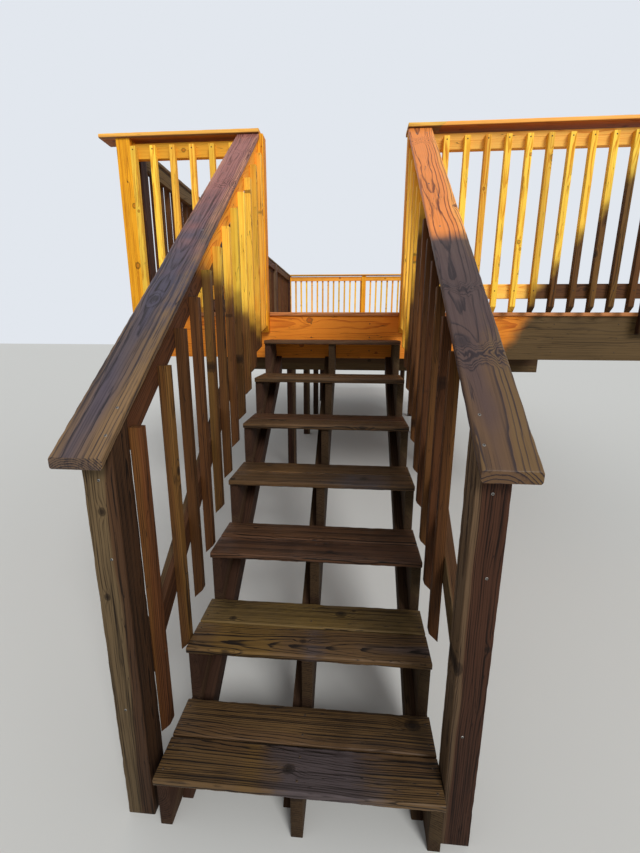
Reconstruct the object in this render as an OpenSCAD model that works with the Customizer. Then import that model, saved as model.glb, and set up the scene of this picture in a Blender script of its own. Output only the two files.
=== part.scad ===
// Timber deck with an open stair: cut stringers, board treads, sloped guards and level guards.
// X runs across the stair, Y runs up the stair and Z is up. The origin lies on the ground, at
// the middle of the foot of the centre stringer.

/* [Lumber] */
// Thickness of rails, rims, joists and stringers
plank_t = 38; // [30:1:50]
// Side of the square posts
post_w = 89; // [80:1:110]
// Height of the guard rails
rail_h = 89; // [70:1:110]
// Thickness of the treads, deck boards and caps
board_t = 25; // [20:1:30]
// Width of the treads' boards, deck boards and caps
board_w = 140; // [120:1:160]
// Gap between neighbouring boards
board_gap = 5; // [3:1:8]
// Rounding of the boards' long edges
board_r = 6; // [3:0.5:9]
// Rounding of the long edges of the other lumber
edge_r = 3; // [2:0.5:4]

/* [Stair] */
// Number of treads
tread_count = 7; // [4:1:10]
// Height of each step
rise = 212; // [160:1:230]
// Depth from one nosing to the next
run = 292; // [286:1:340]
// Width of the treads
tread_w = 882; // [760:2:1100]
// Height from the top tread to the deck
top_rise = 185; // [150:1:220]
// Depth of the top tread, whose back board is ripped to fit
top_tread_d = 226; // [200:1:280]
// Distance that the treads reach past the stringers' upright cuts
nosing = 20; // [10:1:30]
// Width of the planks that the stringers are cut from
stringer_h = 286; // [250:1:310]
// Width of the brace fixed along each stringer's lower edge
brace_h = 89; // [60:1:110]

/* [Stair guard] */
// Height of the sloped cap above the first nosing
stair_guard_h = 1030; // [900:5:1100]
// Distance from the first nosing back to the newels
newel_setback = 42; // [30:1:80]
// Distance that the sloped caps reach in front of the newels
cap_reach = 50; // [30:1:80]
// Gap between the treads' ends and the balusters
baluster_clear = 4; // [3:0.5:8]
// Gap between the treads' right ends and the right newel
newel_clear = 2.5; // [1:0.5:8]
// Distance that the newels and caps stand to the left of the treads' middle line
newel_shift = 14; // [0:1:25]
// Distance that the caps' inner edges reach past the newels' inner faces
cap_lip = 4; // [0:1:12]
// Height from the lower rail's top edge to the underside of the sloped cap
lower_rail_drop = 754; // [650:2:800]
// Length of the stair balusters
stair_baluster_l = 1067; // [950:1:1100]
// Gap between the left newel and the single baluster behind it
newel_gap = 12; // [8:1:20]
// Distance from the first nosing back to the left row of balusters
left_row_start = 341; // [330:1:350]
// Distance from the first nosing back to the right row of balusters
right_row_start = 403; // [390:1:415]
// Number of balusters in each row
stair_baluster_count = 11; // [8:1:12]

/* [Level guard] */
// Height of the level caps above the deck
guard_h = 1082; // [900:2:1150]
// Side of the square balusters
baluster_w = 35; // [30:1:40]
// Gap between the balusters' tops and the caps
baluster_top_gap = 44; // [5:1:50]
// Gap between the upper rails and the level caps
upper_rail_gap = 20; // [0:1:30]
// Length of the level balusters
level_baluster_l = 1016; // [820:2:1080]
// Spacing that the level balusters keep to as nearly as each bay allows
baluster_pitch = 122; // [100:1:130]
// Height of the lower rail above the deck
lower_rail_z = 84; // [60:2:120]
// Distance that the caps reach past the balusters
cap_overhang = 15; // [8:1:25]
// Distance that the front left cap's end reaches past the corner post
cap_end = 104; // [20:1:120]
// Distance that the left cap reaches past the balusters
left_cap_reach = 63; // [10:1:65]
// Distance that the guard posts reach down below the deck's surface
post_drop = 136; // [100:2:280]
// Size of the cut at the foot of the guard posts
post_bevel = 45; // [20:1:70]
// Length of the slanted joint in the right cap
scarf_l = 40; // [25:1:60]
// Distance from the right cap's end to that joint
scarf_x = 190; // [150:5:400]

/* [Deck] */
// Distance from the stair's middle to the left guard's outer face
deck_left = 1392; // [1250:2:2000]
// Distance from the stair's middle to the house
deck_right = 2070; // [1500:5:2600]
// Number of deck boards from front to back
deck_rows = 46; // [20:1:50]
// Distance that the front deck board reaches past the rim
deck_overhang = 12; // [5:1:25]
// Height of the rims, joists and ledger
joist_h = 286; // [235:1:300]
// Spacing of the joists
joist_pitch = 406; // [300:2:610]
// Height of the beams
beam_h = 235; // [140:1:286]
// Thickness of the beams
beam_t = 76; // [60:1:90]
// Number of beams under the deck
beam_count = 4; // [2:1:4]
// Distance from the front rim to the first beam's middle
first_beam = 1600; // [900:5:1700]
// Spacing of the beams
beam_pitch = 1500; // [1200:10:1600]
// Distance from the deck's sides to the posts that carry the beams
pier_inset = 850; // [500:5:1000]
// Number of bays in the left guard
left_bays = 4; // [2:1:5]
// Number of bays in the back guard
back_bays = 2; // [1:1:3]

/* [Hidden] */
$fn = 24;
// Extra length by which cutting shapes pass the pieces that they cut
cut = 60;
// Share of a pitch between the last stair baluster and the post at the stair head
last_gap = 0.25;

// Stair lines
slope = atan2(rise, run);
tread_d = 2 * board_w + board_gap;
foot_l = (stringer_h / cos(slope) - rise + board_t) / tan(slope);
nose_y = -nosing - foot_l / 2;
tread_end = tread_w / 2;
stringer_x = tread_end - plank_t;
deck_h = tread_count * rise + top_rise;

// Deck outline
rim_y = step_y(tread_count - 1) + top_tread_d + board_gap;
boards_y = rim_y - deck_overhang;
board_pitch = board_w + board_gap;
back_y = boards_y + deck_rows * board_pitch - board_gap;
side_x = -deck_left + post_w;
joist_top = deck_h - board_t;
joist_base = joist_top - joist_h;
beam_base = joist_base - beam_h;

// Level guards
guard_under = deck_h + guard_h - board_t;
post_front = rim_y - post_w;
rail_in = baluster_w;
cap_left = -deck_left - cap_end;

// Sloped guards
baluster_in = tread_end + baluster_clear;
rail_x = baluster_in + baluster_w;
newel_in = tread_end + newel_clear + newel_shift;
cap_in = newel_in - cap_lip;
stair_post_out = baluster_in + post_w;
newel_y = nose_y + newel_setback;
cap_y = newel_y - cap_reach;
cap_z = rise + stair_guard_h;
guard_slope = atan2(guard_under - cap_z, post_front - cap_y);
cap_plumb = board_t / cos(guard_slope);

// Nosing line of step i, counted from 0
function step_y(i) = nose_y + i * run;
function step_z(i) = (i + 1) * rise;

// Height of the sloped cap's underside
function under_z(y) = cap_z + (y - cap_y) * tan(guard_slope) - cap_plumb;

// Spacing of a row of stair balusters
function row_pitch(start) =
    (post_front - baluster_w - nose_y - start) / (stair_baluster_count - 1 + last_gap);

// Number of balusters in a bay and their spacing
function cells(bay) = max(1, round(bay / baluster_pitch));
function spacing(bay) = bay / cells(bay);

// Rectangle with rounded corners
module soft_square(w, h, r) {
    translate([r, 0]) square([w - 2 * r, h]);
    translate([0, r]) square([w, h - 2 * r]);
    for (x = [r, w - r], y = [r, h - r]) translate([x, y]) circle(r);
}

// Length of lumber along X, with its section w deep in Y and h high in Z
module along_x(l, w, h, r) {
    rotate([90, 0, 90]) linear_extrude(l) soft_square(w, h, r);
}

// Length of lumber along Y, with its section w wide in X and h high in Z
module along_y(l, w, h, r) {
    translate([0, l, 0]) rotate([90, 0, 0]) linear_extrude(l) soft_square(w, h, r);
}

// Upright square lumber, centred on its axis
module upright(l, w) {
    linear_extrude(l) translate([-w / 2, -w / 2]) soft_square(w, w, edge_r);
}

// Lumber that follows the guard's slope between two upright cuts, its top face through (y0, z0)
module sloped(x, y0, y1, z0, w, t, r) {
    l = (y1 - y0) / cos(guard_slope) + 2 * cut;
    intersection() {
        translate([x, y0, z0]) rotate([guard_slope, 0, 0])
            translate([0, -cut, -t]) along_y(l, w, t, r);
        translate([x - cut, y0, z0 - 2 * cut - t])
            cube([w + 2 * cut, y1 - y0, (y1 - y0) * tan(guard_slope) + 4 * cut + t]);
    }
}

// Baluster with a bevelled foot; the bevel faces -X
module baluster(l) {
    h = baluster_w / 2;
    difference() {
        upright(l, baluster_w);
        translate([0, baluster_w, 0]) rotate([90, 0, 0]) linear_extrude(2 * baluster_w)
            polygon([[-h - edge_r, baluster_w + edge_r], [h + edge_r, -edge_r], [-h - edge_r, -edge_r]]);
    }
}

// Guard post with a bevelled foot; the bevel faces -Y and the foot lies on the local origin
module guard_post() {
    difference() {
        translate([post_w / 2, post_w / 2, 0]) upright(guard_under - deck_h + post_drop, post_w);
        translate([-edge_r, 0, 0]) rotate([90, 0, 90]) linear_extrude(post_w + 2 * edge_r)
            polygon([[-edge_r, post_bevel + edge_r], [post_bevel + edge_r, -edge_r], [-edge_r, -edge_r]]);
    }
}

// Outline of a cut stringer, in Y and Z
module stringer_outline() {
    top = tread_count - 1;
    teeth = [for (i = [0 : top]) each [
        [step_y(i) + nosing, i == 0 ? 0 : step_z(i - 1) - board_t],
        [step_y(i) + nosing, step_z(i) - board_t]
    ]];
    drop = stringer_h / cos(slope);
    end_z = step_z(top) - board_t + (rim_y - step_y(top) - nosing) * tan(slope) - drop;
    polygon(concat(teeth, [
        [rim_y, step_z(top) - board_t],
        [rim_y, end_z],
        [nose_y + nosing + foot_l, 0]
    ]));
}

module stringer(x) {
    color("#5a3a22") translate([x, 0, 0]) rotate([90, 0, 90])
        linear_extrude(plank_t) stringer_outline();
}

// Brace that follows the stringer's lower edge, from the ground to the rim
module brace(x) {
    drop = stringer_h / cos(slope);
    tall = brace_h / cos(slope);
    low = nose_y + nosing + foot_l;
    high_z = (rim_y - low) * tan(slope);
    translate([x, 0, 0]) rotate([90, 0, 90]) linear_extrude(plank_t)
        polygon([[low - tall / tan(slope), 0], [low, 0], [rim_y, high_z], [rim_y, high_z + tall]]);
}

module stringer_braces() {
    color("#6b4a2e") {
        brace(-stringer_x);
        brace(-plank_t / 2 - plank_t);
        brace(stringer_x - plank_t);
    }
}

// Two boards side by side; the top tread's back board is narrower
module tread(i) {
    back_w = i == tread_count - 1 ? top_tread_d - board_pitch : board_w;
    color("#7a5430") translate([-tread_end, step_y(i), step_z(i) - board_t]) {
        along_x(tread_w, board_w, board_t, board_r);
        translate([0, board_pitch, 0]) along_x(tread_w, back_w, board_t, board_r);
    }
}

// Newel on the right-hand side, its top cut to the slope of the cap
module newel() {
    color("#5e3d24") difference() {
        translate([newel_in + post_w / 2, newel_y + post_w / 2, 0])
            upright(under_z(newel_y + post_w) + cut, post_w);
        translate([newel_in - edge_r, newel_y, under_z(newel_y)]) rotate([guard_slope, 0, 0])
            translate([0, -cut, 0]) cube([post_w + 2 * edge_r, 3 * cut + post_w, 3 * cut]);
    }
}

module stair_cap() {
    color("#8a5a3c") sloped(cap_in, cap_y, post_front, cap_z, board_w, board_t, board_r);
}

// Upper and lower rail on the right-hand side, between the newel and the post at the stair head
module stair_rails() {
    y0 = newel_y + post_w;
    color("#8a5c30") {
        sloped(rail_x, y0, post_front, under_z(y0), plank_t, rail_h, edge_r);
        sloped(rail_x, y0, post_front, under_z(y0) - lower_rail_drop, plank_t, rail_h, edge_r);
    }
}

module stair_baluster(y) {
    top = under_z(y) - baluster_top_gap;
    color("#a8702e")
        translate([baluster_in + baluster_w / 2, y + baluster_w / 2, top - stair_baluster_l])
            baluster(stair_baluster_l);
}

module baluster_row(start) {
    for (i = [0 : stair_baluster_count - 1])
        stair_baluster(nose_y + start + i * row_pitch(start));
}

module stair_balusters_left() {
    on_left() {
        stair_baluster(newel_y + post_w + newel_gap);
        baluster_row(left_row_start);
    }
}

module stair_balusters_right() {
    baluster_row(right_row_start);
}

// Level guard, drawn in a frame whose X runs along the bay, whose -Y is outside and whose
// origin lies at the deck's surface in the plane of the posts' outer faces
module bay_rails(x, l) {
    for (z = [lower_rail_z, guard_h - board_t - upper_rail_gap - rail_h])
        translate([x, rail_in, z]) along_x(l, plank_t, rail_h, edge_r);
}

module bay_balusters(x, l) {
    step = spacing(l);
    base = guard_h - board_t - baluster_top_gap - level_baluster_l;
    for (i = [0 : cells(l) - 1])
        translate([x + i * step + baluster_w / 2, baluster_w / 2, base])
            rotate([0, 0, 90]) baluster(level_baluster_l);
}

module cap_board(x, l, reach = cap_overhang) {
    translate([x, -reach, guard_h - board_t]) along_x(l, board_w, board_t, board_r);
}

// Frames of the four level guards
module at_front() {
    translate([0, post_front, deck_h]) children();
}

module at_left() {
    translate([-deck_left, back_y - plank_t, deck_h]) rotate([0, 0, -90]) children();
}

module at_back() {
    translate([deck_right, back_y + post_w, deck_h]) rotate([0, 0, 180]) children();
}

// Bays between posts that stand evenly along a guard of the given length
function bay_l(l, n) = (l - (n + 1) * post_w) / n;
function bay_x(l, n, i) = post_w + i * (bay_l(l, n) + post_w);
left_l = back_y - rim_y - 2 * plank_t;
back_l = deck_right + deck_left;

module post_row(l, n) {
    for (i = [0 : n]) translate([i * (bay_l(l, n) + post_w), 0, -post_drop]) guard_post();
}

module one_post(x) {
    translate([x, 0, -post_drop]) guard_post();
}

module stair_post_left() {
    color("#b47a32") at_front() one_post(-stair_post_out);
}

module stair_post_right() {
    color("#b47a32") at_front() one_post(baluster_in);
}

module corner_post() {
    color("#d0913a") at_front() one_post(-deck_left);
}

module end_post() {
    color("#b47a32") at_front() one_post(deck_right - post_w);
}

module left_guard_posts() {
    color("#b47a32") at_left() post_row(left_l, left_bays);
}

module back_guard_posts() {
    color("#b47a32") at_back() post_row(back_l, back_bays);
}

module front_rim() {
    color("#9a6a32") translate([-deck_left, rim_y, joist_base])
        along_x(deck_left + deck_right, plank_t, joist_h, edge_r);
}

module back_rim() {
    color("#9a6a32") translate([-deck_left, back_y - plank_t, joist_base])
        along_x(deck_left + deck_right, plank_t, joist_h, edge_r);
}

module left_rim() {
    color("#9a6a32") translate([side_x, rim_y + plank_t, joist_base])
        along_y(left_l, plank_t, joist_h, edge_r);
}

module ledger() {
    color("#9a6a32") translate([deck_right - plank_t, rim_y + plank_t, joist_base])
        along_y(left_l, plank_t, joist_h, edge_r);
}

module joists() {
    first = -deck_left + joist_pitch;
    last = deck_right - 3 * plank_t;
    color("#83592f") for (x = [first : joist_pitch : last])
        translate([x, rim_y + plank_t, joist_base])
            along_y(left_l, plank_t, joist_h, edge_r);
}

function beam_y(i) = rim_y + first_beam + i * beam_pitch;

module beams() {
    color("#83592f") for (i = [0 : beam_count - 1])
        translate([side_x, beam_y(i) - beam_t / 2, beam_base])
            along_x(deck_right - side_x, beam_t, beam_h, edge_r);
}

module deck_posts() {
    color("#6f4b2a") for (i = [0 : beam_count - 1], x = [-deck_left + pier_inset, deck_right - pier_inset])
        translate([x, beam_y(i), 0]) upright(beam_base, post_w);
}

// Boards along X; the front one reaches over the rim and is notched round the posts
module deck_boards() {
    color("#8d6236") {
        difference() {
            translate([side_x, boards_y, joist_top])
                along_x(deck_right - side_x, board_w, board_t, board_r);
            for (x = [-stair_post_out, baluster_in, deck_right - post_w])
                translate([x - board_gap / 2, boards_y - cut, joist_top - cut])
                    cube([post_w + board_gap, deck_overhang + cut, board_t + 2 * cut]);
        }
        for (i = [1 : deck_rows - 1]) translate([side_x, boards_y + i * board_pitch, joist_top])
            along_x(deck_right - side_x, board_w, board_t, board_r);
    }
}

module front_left_rails() {
    x = -deck_left + post_w;
    color("#c98a35") at_front() bay_rails(x, -stair_post_out - x);
}

module front_left_balusters() {
    x = -deck_left + post_w;
    color("#d0913a") at_front() bay_balusters(x, -stair_post_out - x);
}

module front_left_cap() {
    color("#c2843a") at_front() cap_board(cap_left, -newel_shift - cap_in - cap_left);
}

module front_right_rails() {
    color("#c98a35") at_front() bay_rails(stair_post_out, deck_right - post_w - stair_post_out);
}

module front_right_balusters() {
    color("#d0913a") at_front() bay_balusters(stair_post_out, deck_right - post_w - stair_post_out);
}

// Two lengths that meet in a slanted joint, with a hair's gap between them
module front_right_cap() {
    end = cap_in - newel_shift;
    joint = end + scarf_x;
    hair = 0.4;
    side = board_w + 2 * cut;
    color("#c2843a") at_front() {
        intersection() {
            cap_board(end, scarf_x + scarf_l);
            translate([0, side - cut, guard_h - board_t]) rotate([90, 0, 0]) linear_extrude(side)
                polygon([[0, 0], [joint - hair, 0], [joint + scarf_l - hair, board_t], [0, board_t]]);
        }
        intersection() {
            cap_board(joint, deck_right - joint);
            translate([0, side - cut, guard_h - board_t]) rotate([90, 0, 0]) linear_extrude(side)
                polygon([[joint, 0], [deck_right, 0], [deck_right, board_t], [joint + scarf_l, board_t]]);
        }
    }
}

module left_guard_rails() {
    color("#a9742f") at_left() for (i = [0 : left_bays - 1])
        bay_rails(bay_x(left_l, left_bays, i), bay_l(left_l, left_bays));
}

module left_guard_balusters() {
    color("#b57c33") at_left() for (i = [0 : left_bays - 1])
        bay_balusters(bay_x(left_l, left_bays, i), bay_l(left_l, left_bays));
}

// Runs between the front cap and the back cap
module left_guard_cap() {
    past_rim = board_w - cap_overhang - post_w;
    color("#a87238") at_left()
        cap_board(past_rim - plank_t, left_l + 2 * (plank_t - past_rim), left_cap_reach);
}

module back_guard_rails() {
    color("#a9742f") at_back() for (i = [0 : back_bays - 1])
        bay_rails(bay_x(back_l, back_bays, i), bay_l(back_l, back_bays));
}

module back_guard_balusters() {
    color("#b57c33") at_back() for (i = [0 : back_bays - 1])
        bay_balusters(bay_x(back_l, back_bays, i), bay_l(back_l, back_bays));
}

module back_guard_cap() {
    color("#a87238") at_back() cap_board(0, deck_right - cap_left);
}

module on_left() {
    mirror([1, 0, 0]) children();
}

// The newels and caps share a middle line that lies to the left of the treads' one
module shifted() {
    translate([-newel_shift, 0, 0]) children();
}

stringer(-tread_end);  // stringer_left
stringer(-plank_t / 2);  // stringer_center
stringer(stringer_x);  // stringer_right
stringer_braces();
tread(0);  // tread_1
tread(1);  // tread_2
tread(2);  // tread_3
tread(3);  // tread_4
tread(4);  // tread_5
tread(5);  // tread_6
tread(6);  // tread_7
shifted() on_left() newel();  // newel_left
shifted() newel();  // newel_right
shifted() on_left() stair_cap();  // stair_cap_left
shifted() stair_cap();  // stair_cap_right
on_left() stair_rails();  // stair_rails_left
stair_rails();  // stair_rails_right
stair_balusters_left();
stair_balusters_right();
front_rim();
back_rim();
left_rim();
ledger();
joists();
beams();
deck_posts();
deck_boards();
stair_post_left();
stair_post_right();
corner_post();
end_post();
left_guard_posts();
back_guard_posts();
front_left_rails();
front_left_balusters();
front_left_cap();
front_right_rails();
front_right_balusters();
front_right_cap();
left_guard_rails();
left_guard_balusters();
left_guard_cap();
back_guard_rails();
back_guard_balusters();
back_guard_cap();
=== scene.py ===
"""Looks of a timber deck and its open stair: grain, knots, stain, painted sun and shade, and screws on every
length of lumber.

Every length of timber is a merged copy of its solid with eased edges. It carries the direction of its
grain, its place in the log and its knots as attributes, which the wood finishes read.
Lengths are in metres. X runs across the stair, Y runs up it and Z is up.
"""

import logging
import math
import random
from collections.abc import Iterable
from dataclasses import dataclass, field, replace
from enum import Enum
from typing import Union

import bmesh
import bpy
import numpy as np
from mathutils import Matrix, Vector


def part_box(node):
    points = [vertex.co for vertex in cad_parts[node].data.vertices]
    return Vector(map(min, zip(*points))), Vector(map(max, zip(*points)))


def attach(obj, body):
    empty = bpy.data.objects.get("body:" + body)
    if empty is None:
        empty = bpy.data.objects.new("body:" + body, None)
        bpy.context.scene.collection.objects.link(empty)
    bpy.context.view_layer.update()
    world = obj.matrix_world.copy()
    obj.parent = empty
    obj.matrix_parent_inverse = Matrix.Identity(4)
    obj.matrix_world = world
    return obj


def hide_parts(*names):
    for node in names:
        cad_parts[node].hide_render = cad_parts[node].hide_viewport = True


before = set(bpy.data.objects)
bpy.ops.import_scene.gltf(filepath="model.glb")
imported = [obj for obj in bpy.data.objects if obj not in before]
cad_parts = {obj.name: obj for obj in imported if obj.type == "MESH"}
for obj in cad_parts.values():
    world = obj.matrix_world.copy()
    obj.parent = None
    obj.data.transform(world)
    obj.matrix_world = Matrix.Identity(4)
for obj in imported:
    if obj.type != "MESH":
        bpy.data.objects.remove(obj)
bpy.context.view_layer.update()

LOG = logging.getLogger("deck_stair")
BODY = "root"

# Points closer than this are one point, and faces within this angle are one flat face
WELD = 1e-5
FLAT = math.radians(0.6)
# Edges sharper than this are eased and stay crisp in the shading
SHARP = math.radians(35)
# Roundness of an eased edge, where 0.5 is a quarter circle
ROUND = 0.6
# An edge or a face only counts as larger than another one by more than this
MARGIN = 1e-4
# Least radius of a knot, so that nothing is divided by zero
TINY = 1e-4

Colour = tuple[float, float, float]
# How often a noise turns in a metre along, across and through the grain
Pace = tuple[float, float, float]
Socket = bpy.types.NodeSocket
Feed = Union[bpy.types.NodeSocket, float, str, tuple, None]


def rgb(red: int, green: int, blue: int) -> Colour:
    """Colour written in display values from 0 to 255, as the linear values that shaders take."""
    shares = (value / 255 for value in (red, green, blue))
    return tuple(v / 12.92 if v <= 0.04045 else ((v + 0.055) / 1.055) ** 2.4 for v in shares)


@dataclass(frozen=True)
class Photograph:
    """The camera that took the photograph, in the model's frame."""

    place: tuple[float, float, float] = (0.1428, -1.0394, 1.5511)
    yaw: float = -0.08064
    pitch: float = 0.23489
    roll: float = -0.00395
    focal_px: float = 404.0
    height_px: int = 853
    sensor: float = 36.0

    def build(self) -> bpy.types.Object:
        """Makes the scene's camera.

        Returns:
            The camera.
        """
        ahead = Vector((math.sin(self.yaw) * math.cos(self.pitch),
                        math.cos(self.yaw) * math.cos(self.pitch), -math.sin(self.pitch)))
        level = Vector((math.cos(self.yaw), -math.sin(self.yaw), 0))
        down = ahead.cross(level)
        right = math.cos(self.roll) * level + math.sin(self.roll) * down
        low = -math.sin(self.roll) * level + math.cos(self.roll) * down
        turn = Matrix((right, -low, -ahead)).transposed().to_4x4()
        data = bpy.data.cameras.new("photograph")
        data.sensor_width = self.sensor
        data.lens = self.focal_px / self.height_px * self.sensor
        camera = bpy.data.objects.new("photograph", data)
        camera.matrix_world = Matrix.Translation(self.place) @ turn
        bpy.context.scene.collection.objects.link(camera)
        bpy.context.scene.camera = camera
        return camera


class Net:
    """Adds nodes to one tree and links them by short calls."""

    def __init__(self, tree: bpy.types.NodeTree) -> None:
        """Works on the given tree.

        Args:
            tree: the tree that takes the nodes.
        """
        self.tree = tree
        self.entry: bpy.types.Node | None = None
        self.exit: bpy.types.Node | None = None

    @classmethod
    def group(cls, name: str, inputs: dict[str, Feed], outputs: tuple[str, ...]) -> "Net":
        """Starts a shader node group whose outputs are numbers.

        Args:
            name: name of the group.
            inputs: socket name to its default, a number or the word VECTOR.
            outputs: names of the outputs.

        Returns:
            The net of the new group, with its entry and exit in place.
        """
        net = cls(bpy.data.node_groups.new(name, "ShaderNodeTree"))
        for label, value in inputs.items():
            kind = "NodeSocketVector" if value == "VECTOR" else "NodeSocketFloat"
            socket = net.tree.interface.new_socket(label, in_out="INPUT", socket_type=kind)
            if value != "VECTOR":
                socket.default_value = value
        for label in outputs:
            net.tree.interface.new_socket(label, in_out="OUTPUT", socket_type="NodeSocketFloat")
        net.entry = net.add("NodeGroupInput")
        net.exit = net.add("NodeGroupOutput")
        return net

    @classmethod
    def geometry(cls, name: str, inputs: dict[str, str]) -> tuple["Net", dict[str, str]]:
        """Starts a Geometry Nodes tree that takes points and gives a shape.

        Args:
            name: name of the tree.
            inputs: kind of each further input by its name.

        Returns:
            The net of the new tree, and its input identifiers by name.
        """
        net = cls(bpy.data.node_groups.new(name, "GeometryNodeTree"))
        face = net.tree.interface
        face.new_socket("Geometry", in_out="INPUT", socket_type="NodeSocketGeometry")
        keys = {label: face.new_socket(label, in_out="INPUT", socket_type=f"NodeSocket{kind}").identifier
                for label, kind in inputs.items()}
        face.new_socket("Geometry", in_out="OUTPUT", socket_type="NodeSocketGeometry")
        net.entry = net.add("NodeGroupInput")
        net.exit = net.add("NodeGroupOutput")
        return net, keys

    @classmethod
    def material(cls, name: str) -> tuple[bpy.types.Material, "Net", bpy.types.bpy_prop_collection]:
        """Starts a material.

        Args:
            name: name of the material.

        Returns:
            The material, its net and the inputs of its shader.
        """
        material = bpy.data.materials.new(name)
        material.use_nodes = True
        return material, cls(material.node_tree), material.node_tree.nodes["Principled BSDF"].inputs

    def add(self, kind: str, feeds: dict[str, Feed] | None = None, **settings: object) -> bpy.types.Node:
        """Adds a node.

        Args:
            kind: the node's type.
            feeds: value or source of its inputs by name.
            settings: its properties.

        Returns:
            The node.
        """
        node = self.tree.nodes.new(kind)
        for key, value in settings.items():
            setattr(node, key, value)
        for label, value in (feeds or {}).items():
            self.feed(node.inputs[label], value)
        return node

    def feed(self, socket: Socket, value: Feed) -> None:
        """Links a socket to another one, or sets its own value.

        Args:
            socket: the input.
            value: the source, a value, or nothing to leave the input as it is.
        """
        if isinstance(value, bpy.types.NodeSocket):
            self.tree.links.new(value, socket)
        elif value is not None:
            socket.default_value = value

    def into(self, name: str) -> Socket:
        """The tree's input of that name."""
        return self.entry.outputs[name]

    def out(self, name: str, value: Socket) -> None:
        """Links a value to the tree's output of that name."""
        self.tree.links.new(value, self.exit.inputs[name])

    def math(self, operation: str, *values: Feed) -> Socket:
        """Works out one operation on numbers.

        Args:
            operation: name of the operation.
            values: its numbers, in order.

        Returns:
            The result.
        """
        node = self.add("ShaderNodeMath", operation=operation)
        for socket, value in zip(node.inputs, values):
            self.feed(socket, value)
        return node.outputs[0]

    def times(self, first: Feed, second: Feed) -> Socket:
        """Product of two numbers."""
        return self.math("MULTIPLY", first, second)

    def plus(self, first: Feed, second: Feed) -> Socket:
        """Sum of two numbers."""
        return self.math("ADD", first, second)

    def minus(self, first: Feed, second: Feed) -> Socket:
        """First number less the second."""
        return self.math("SUBTRACT", first, second)

    def scaled(self, value: Feed, factor: Feed, offset: Feed) -> Socket:
        """A number times a factor, plus an offset."""
        return self.math("MULTIPLY_ADD", value, factor, offset)

    def vector(self, operation: str, *values: Feed) -> Socket:
        """Works out one operation on vectors.

        Args:
            operation: name of the operation.
            values: its vectors, in order.

        Returns:
            The result, a number or a vector.
        """
        node = self.add("ShaderNodeVectorMath", operation=operation)
        for socket, value in zip(node.inputs, values):
            self.feed(socket, value)
        return node.outputs["Value" if operation in ("LENGTH", "DOT_PRODUCT") else "Vector"]

    def paced(self, place: Socket, pace: Pace) -> Socket:
        """A place stretched by a pace, for a noise that turns once in each unit."""
        return self.vector("MULTIPLY", place, pace)

    def split(self, value: Socket) -> tuple[Socket, ...]:
        """The three numbers of a vector."""
        return tuple(self.add("ShaderNodeSeparateXYZ", {"Vector": value}).outputs)

    def join(self, x: Feed, y: Feed, z: Feed) -> Socket:
        """A vector of three numbers."""
        return self.add("ShaderNodeCombineXYZ", {"X": x, "Y": y, "Z": z}).outputs[0]

    def ease(self, value: Feed, low: Feed, high: Feed, to_low: float = 0.0, to_high: float = 1.0) -> Socket:
        """Takes a smooth step between two values.

        Args:
            value: the number.
            low: where the step starts.
            high: where it ends.
            to_low: result up to the start.
            to_high: result past the end.

        Returns:
            The result.
        """
        feeds = {"Value": value, "From Min": low, "From Max": high, "To Min": to_low, "To Max": to_high}
        return self.add("ShaderNodeMapRange", feeds, interpolation_type="SMOOTHSTEP").outputs[0]

    def noise(self, place: Feed, scale: float = 1.0, detail: float = 2.0, roughness: float = 0.5,
              output: str = "Fac") -> Socket:
        """Cloudy noise from 0 to 1.

        Args:
            place: where it is read.
            scale: how often it turns in a unit.
            detail: number of finer layers.
            roughness: share of the finer layers.
            output: Fac for one number, Color for three.

        Returns:
            The noise.
        """
        feeds = {"Vector": place, "Scale": scale, "Detail": detail, "Roughness": roughness}
        return self.add("ShaderNodeTexNoise", feeds).outputs[output]

    def mix(self, factor: Feed, first: Feed, second: Feed) -> Socket:
        """Blends two colours.

        Args:
            factor: share of the second colour.
            first: the first colour.
            second: the second colour.

        Returns:
            The blend.
        """
        node = self.add("ShaderNodeMix", data_type="RGBA")
        share, low, high = (node.inputs[index] for index in (0, 6, 7))
        self.feed(share, factor)
        self.feed(low, (*first, 1.0) if isinstance(first, tuple) else first)
        self.feed(high, (*second, 1.0) if isinstance(second, tuple) else second)
        return node.outputs[2]

    def attribute(self, name: str, output: str = "Vector") -> Socket:
        """A value that the mesh carries."""
        return self.add("ShaderNodeAttribute", attribute_name=name).outputs[output]

    def use(self, tree: bpy.types.NodeTree, **feeds: Feed) -> bpy.types.Node:
        """Places a group and feeds its inputs."""
        return self.add("ShaderNodeGroup", feeds, node_tree=tree)


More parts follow.
